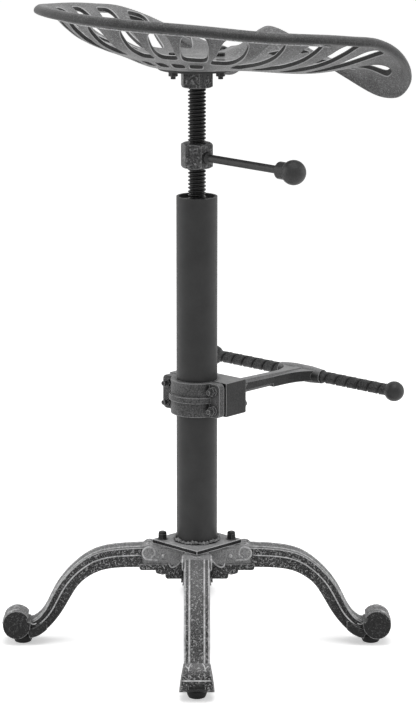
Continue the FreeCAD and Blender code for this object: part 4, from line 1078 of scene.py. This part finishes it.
def floor_material():
    """White floor: it takes the shadow, and what is seen of it is lifted to white, less near the feet,
    which paints a deeper contact shadow there.
    """
    material = bpy.data.materials.new("floor_white")
    material.use_nodes = True
    tree = material.node_tree
    tree.nodes.clear()
    output = add_node(tree, "ShaderNodeOutputMaterial")
    diffuse = add_node(tree, "ShaderNodeBsdfDiffuse", {"Color": (FLOOR_TONE, FLOOR_TONE, FLOOR_TONE, 1)})
    glow = add_node(tree, "ShaderNodeEmission", {"Color": (1, 1, 1, 1)})
    near = add_node(tree, "ShaderNodeAmbientOcclusion", {"Distance": CONTACT_SHADOW_REACH}, samples=RAY_SAMPLES)
    lift = map_range(tree, near.outputs["AO"], *CONTACT_SHADOW_RANGE, FLOOR_LIFT * CONTACT_SHADOW_SHARE, FLOOR_LIFT)
    tree.links.new(calculate(tree, "MULTIPLY", seen_rays(tree), lift), glow.inputs["Strength"])
    both = add_node(tree, "ShaderNodeAddShader")
    tree.links.new(diffuse.outputs[0], both.inputs[0])
    tree.links.new(glow.outputs[0], both.inputs[1])
    tree.links.new(both.outputs[0], output.inputs["Surface"])
    return material


def make_floor():
    """A plain square floor."""
    span = np.array((-FLOOR_HALF_SIZE, FLOOR_HALF_SIZE))
    mesh = grid_mesh("floor", np.stack([*np.meshgrid(span, span), np.zeros((2, 2))], axis=-1))
    mesh.materials.append(floor_material())
    floor = bpy.data.objects.new("floor", mesh)
    bpy.context.scene.collection.objects.link(floor)


def make_world():
    """White where the camera or a reflection looks, and a softer white for the light itself."""
    world = bpy.data.worlds.new("studio")
    bpy.context.scene.world = world
    world.use_nodes = True
    tree = world.node_tree
    background = tree.nodes["Background"]
    background.inputs["Color"].default_value = (1, 1, 1, 1)
    strength = map_range(tree, seen_rays(tree), 0.0, 1.0, SKY_LIGHT, 1.0)
    tree.links.new(strength, background.inputs["Strength"])


def look_at(obj, place, aim):
    """Put a lamp or a camera in its place and turn it to its aim."""
    bpy.context.scene.collection.objects.link(obj)
    obj.location = place
    obj.rotation_euler = (aim - Vector(place)).to_track_quat("-Z", "Y").to_euler()


def make_lamps():
    """Large soft lamps over the stool and on both sides."""
    for name, place, size, power in LAMPS:
        data = bpy.data.lights.new(name, "AREA")
        data.shape = "RECTANGLE"
        data.size, data.size_y = size
        data.energy = power
        look_at(bpy.data.objects.new(name, data), place, LAMP_AIM)


def make_camera():
    """The camera looks along the seat's rear right diagonal from a little above."""
    flat = CAMERA_DISTANCE * math.cos(CAMERA_PITCH) / math.sqrt(2)
    place = CAMERA_AIM + Vector((-flat, -flat, CAMERA_DISTANCE * math.sin(CAMERA_PITCH)))
    data = bpy.data.cameras.new("camera")
    data.sensor_width = CAMERA_SENSOR
    data.lens = CAMERA_LENS
    data.shift_x = (PICTURE_CENTRE - AXIS_PIXEL) / PICTURE_HEIGHT
    data.clip_end = CAMERA_REACH
    camera = bpy.data.objects.new("camera", data)
    look_at(camera, place, CAMERA_AIM)
    bpy.context.scene.camera = camera


make_floor()
make_world()
make_lamps()
make_camera()
bpy.context.scene.view_settings.view_transform = "Standard"
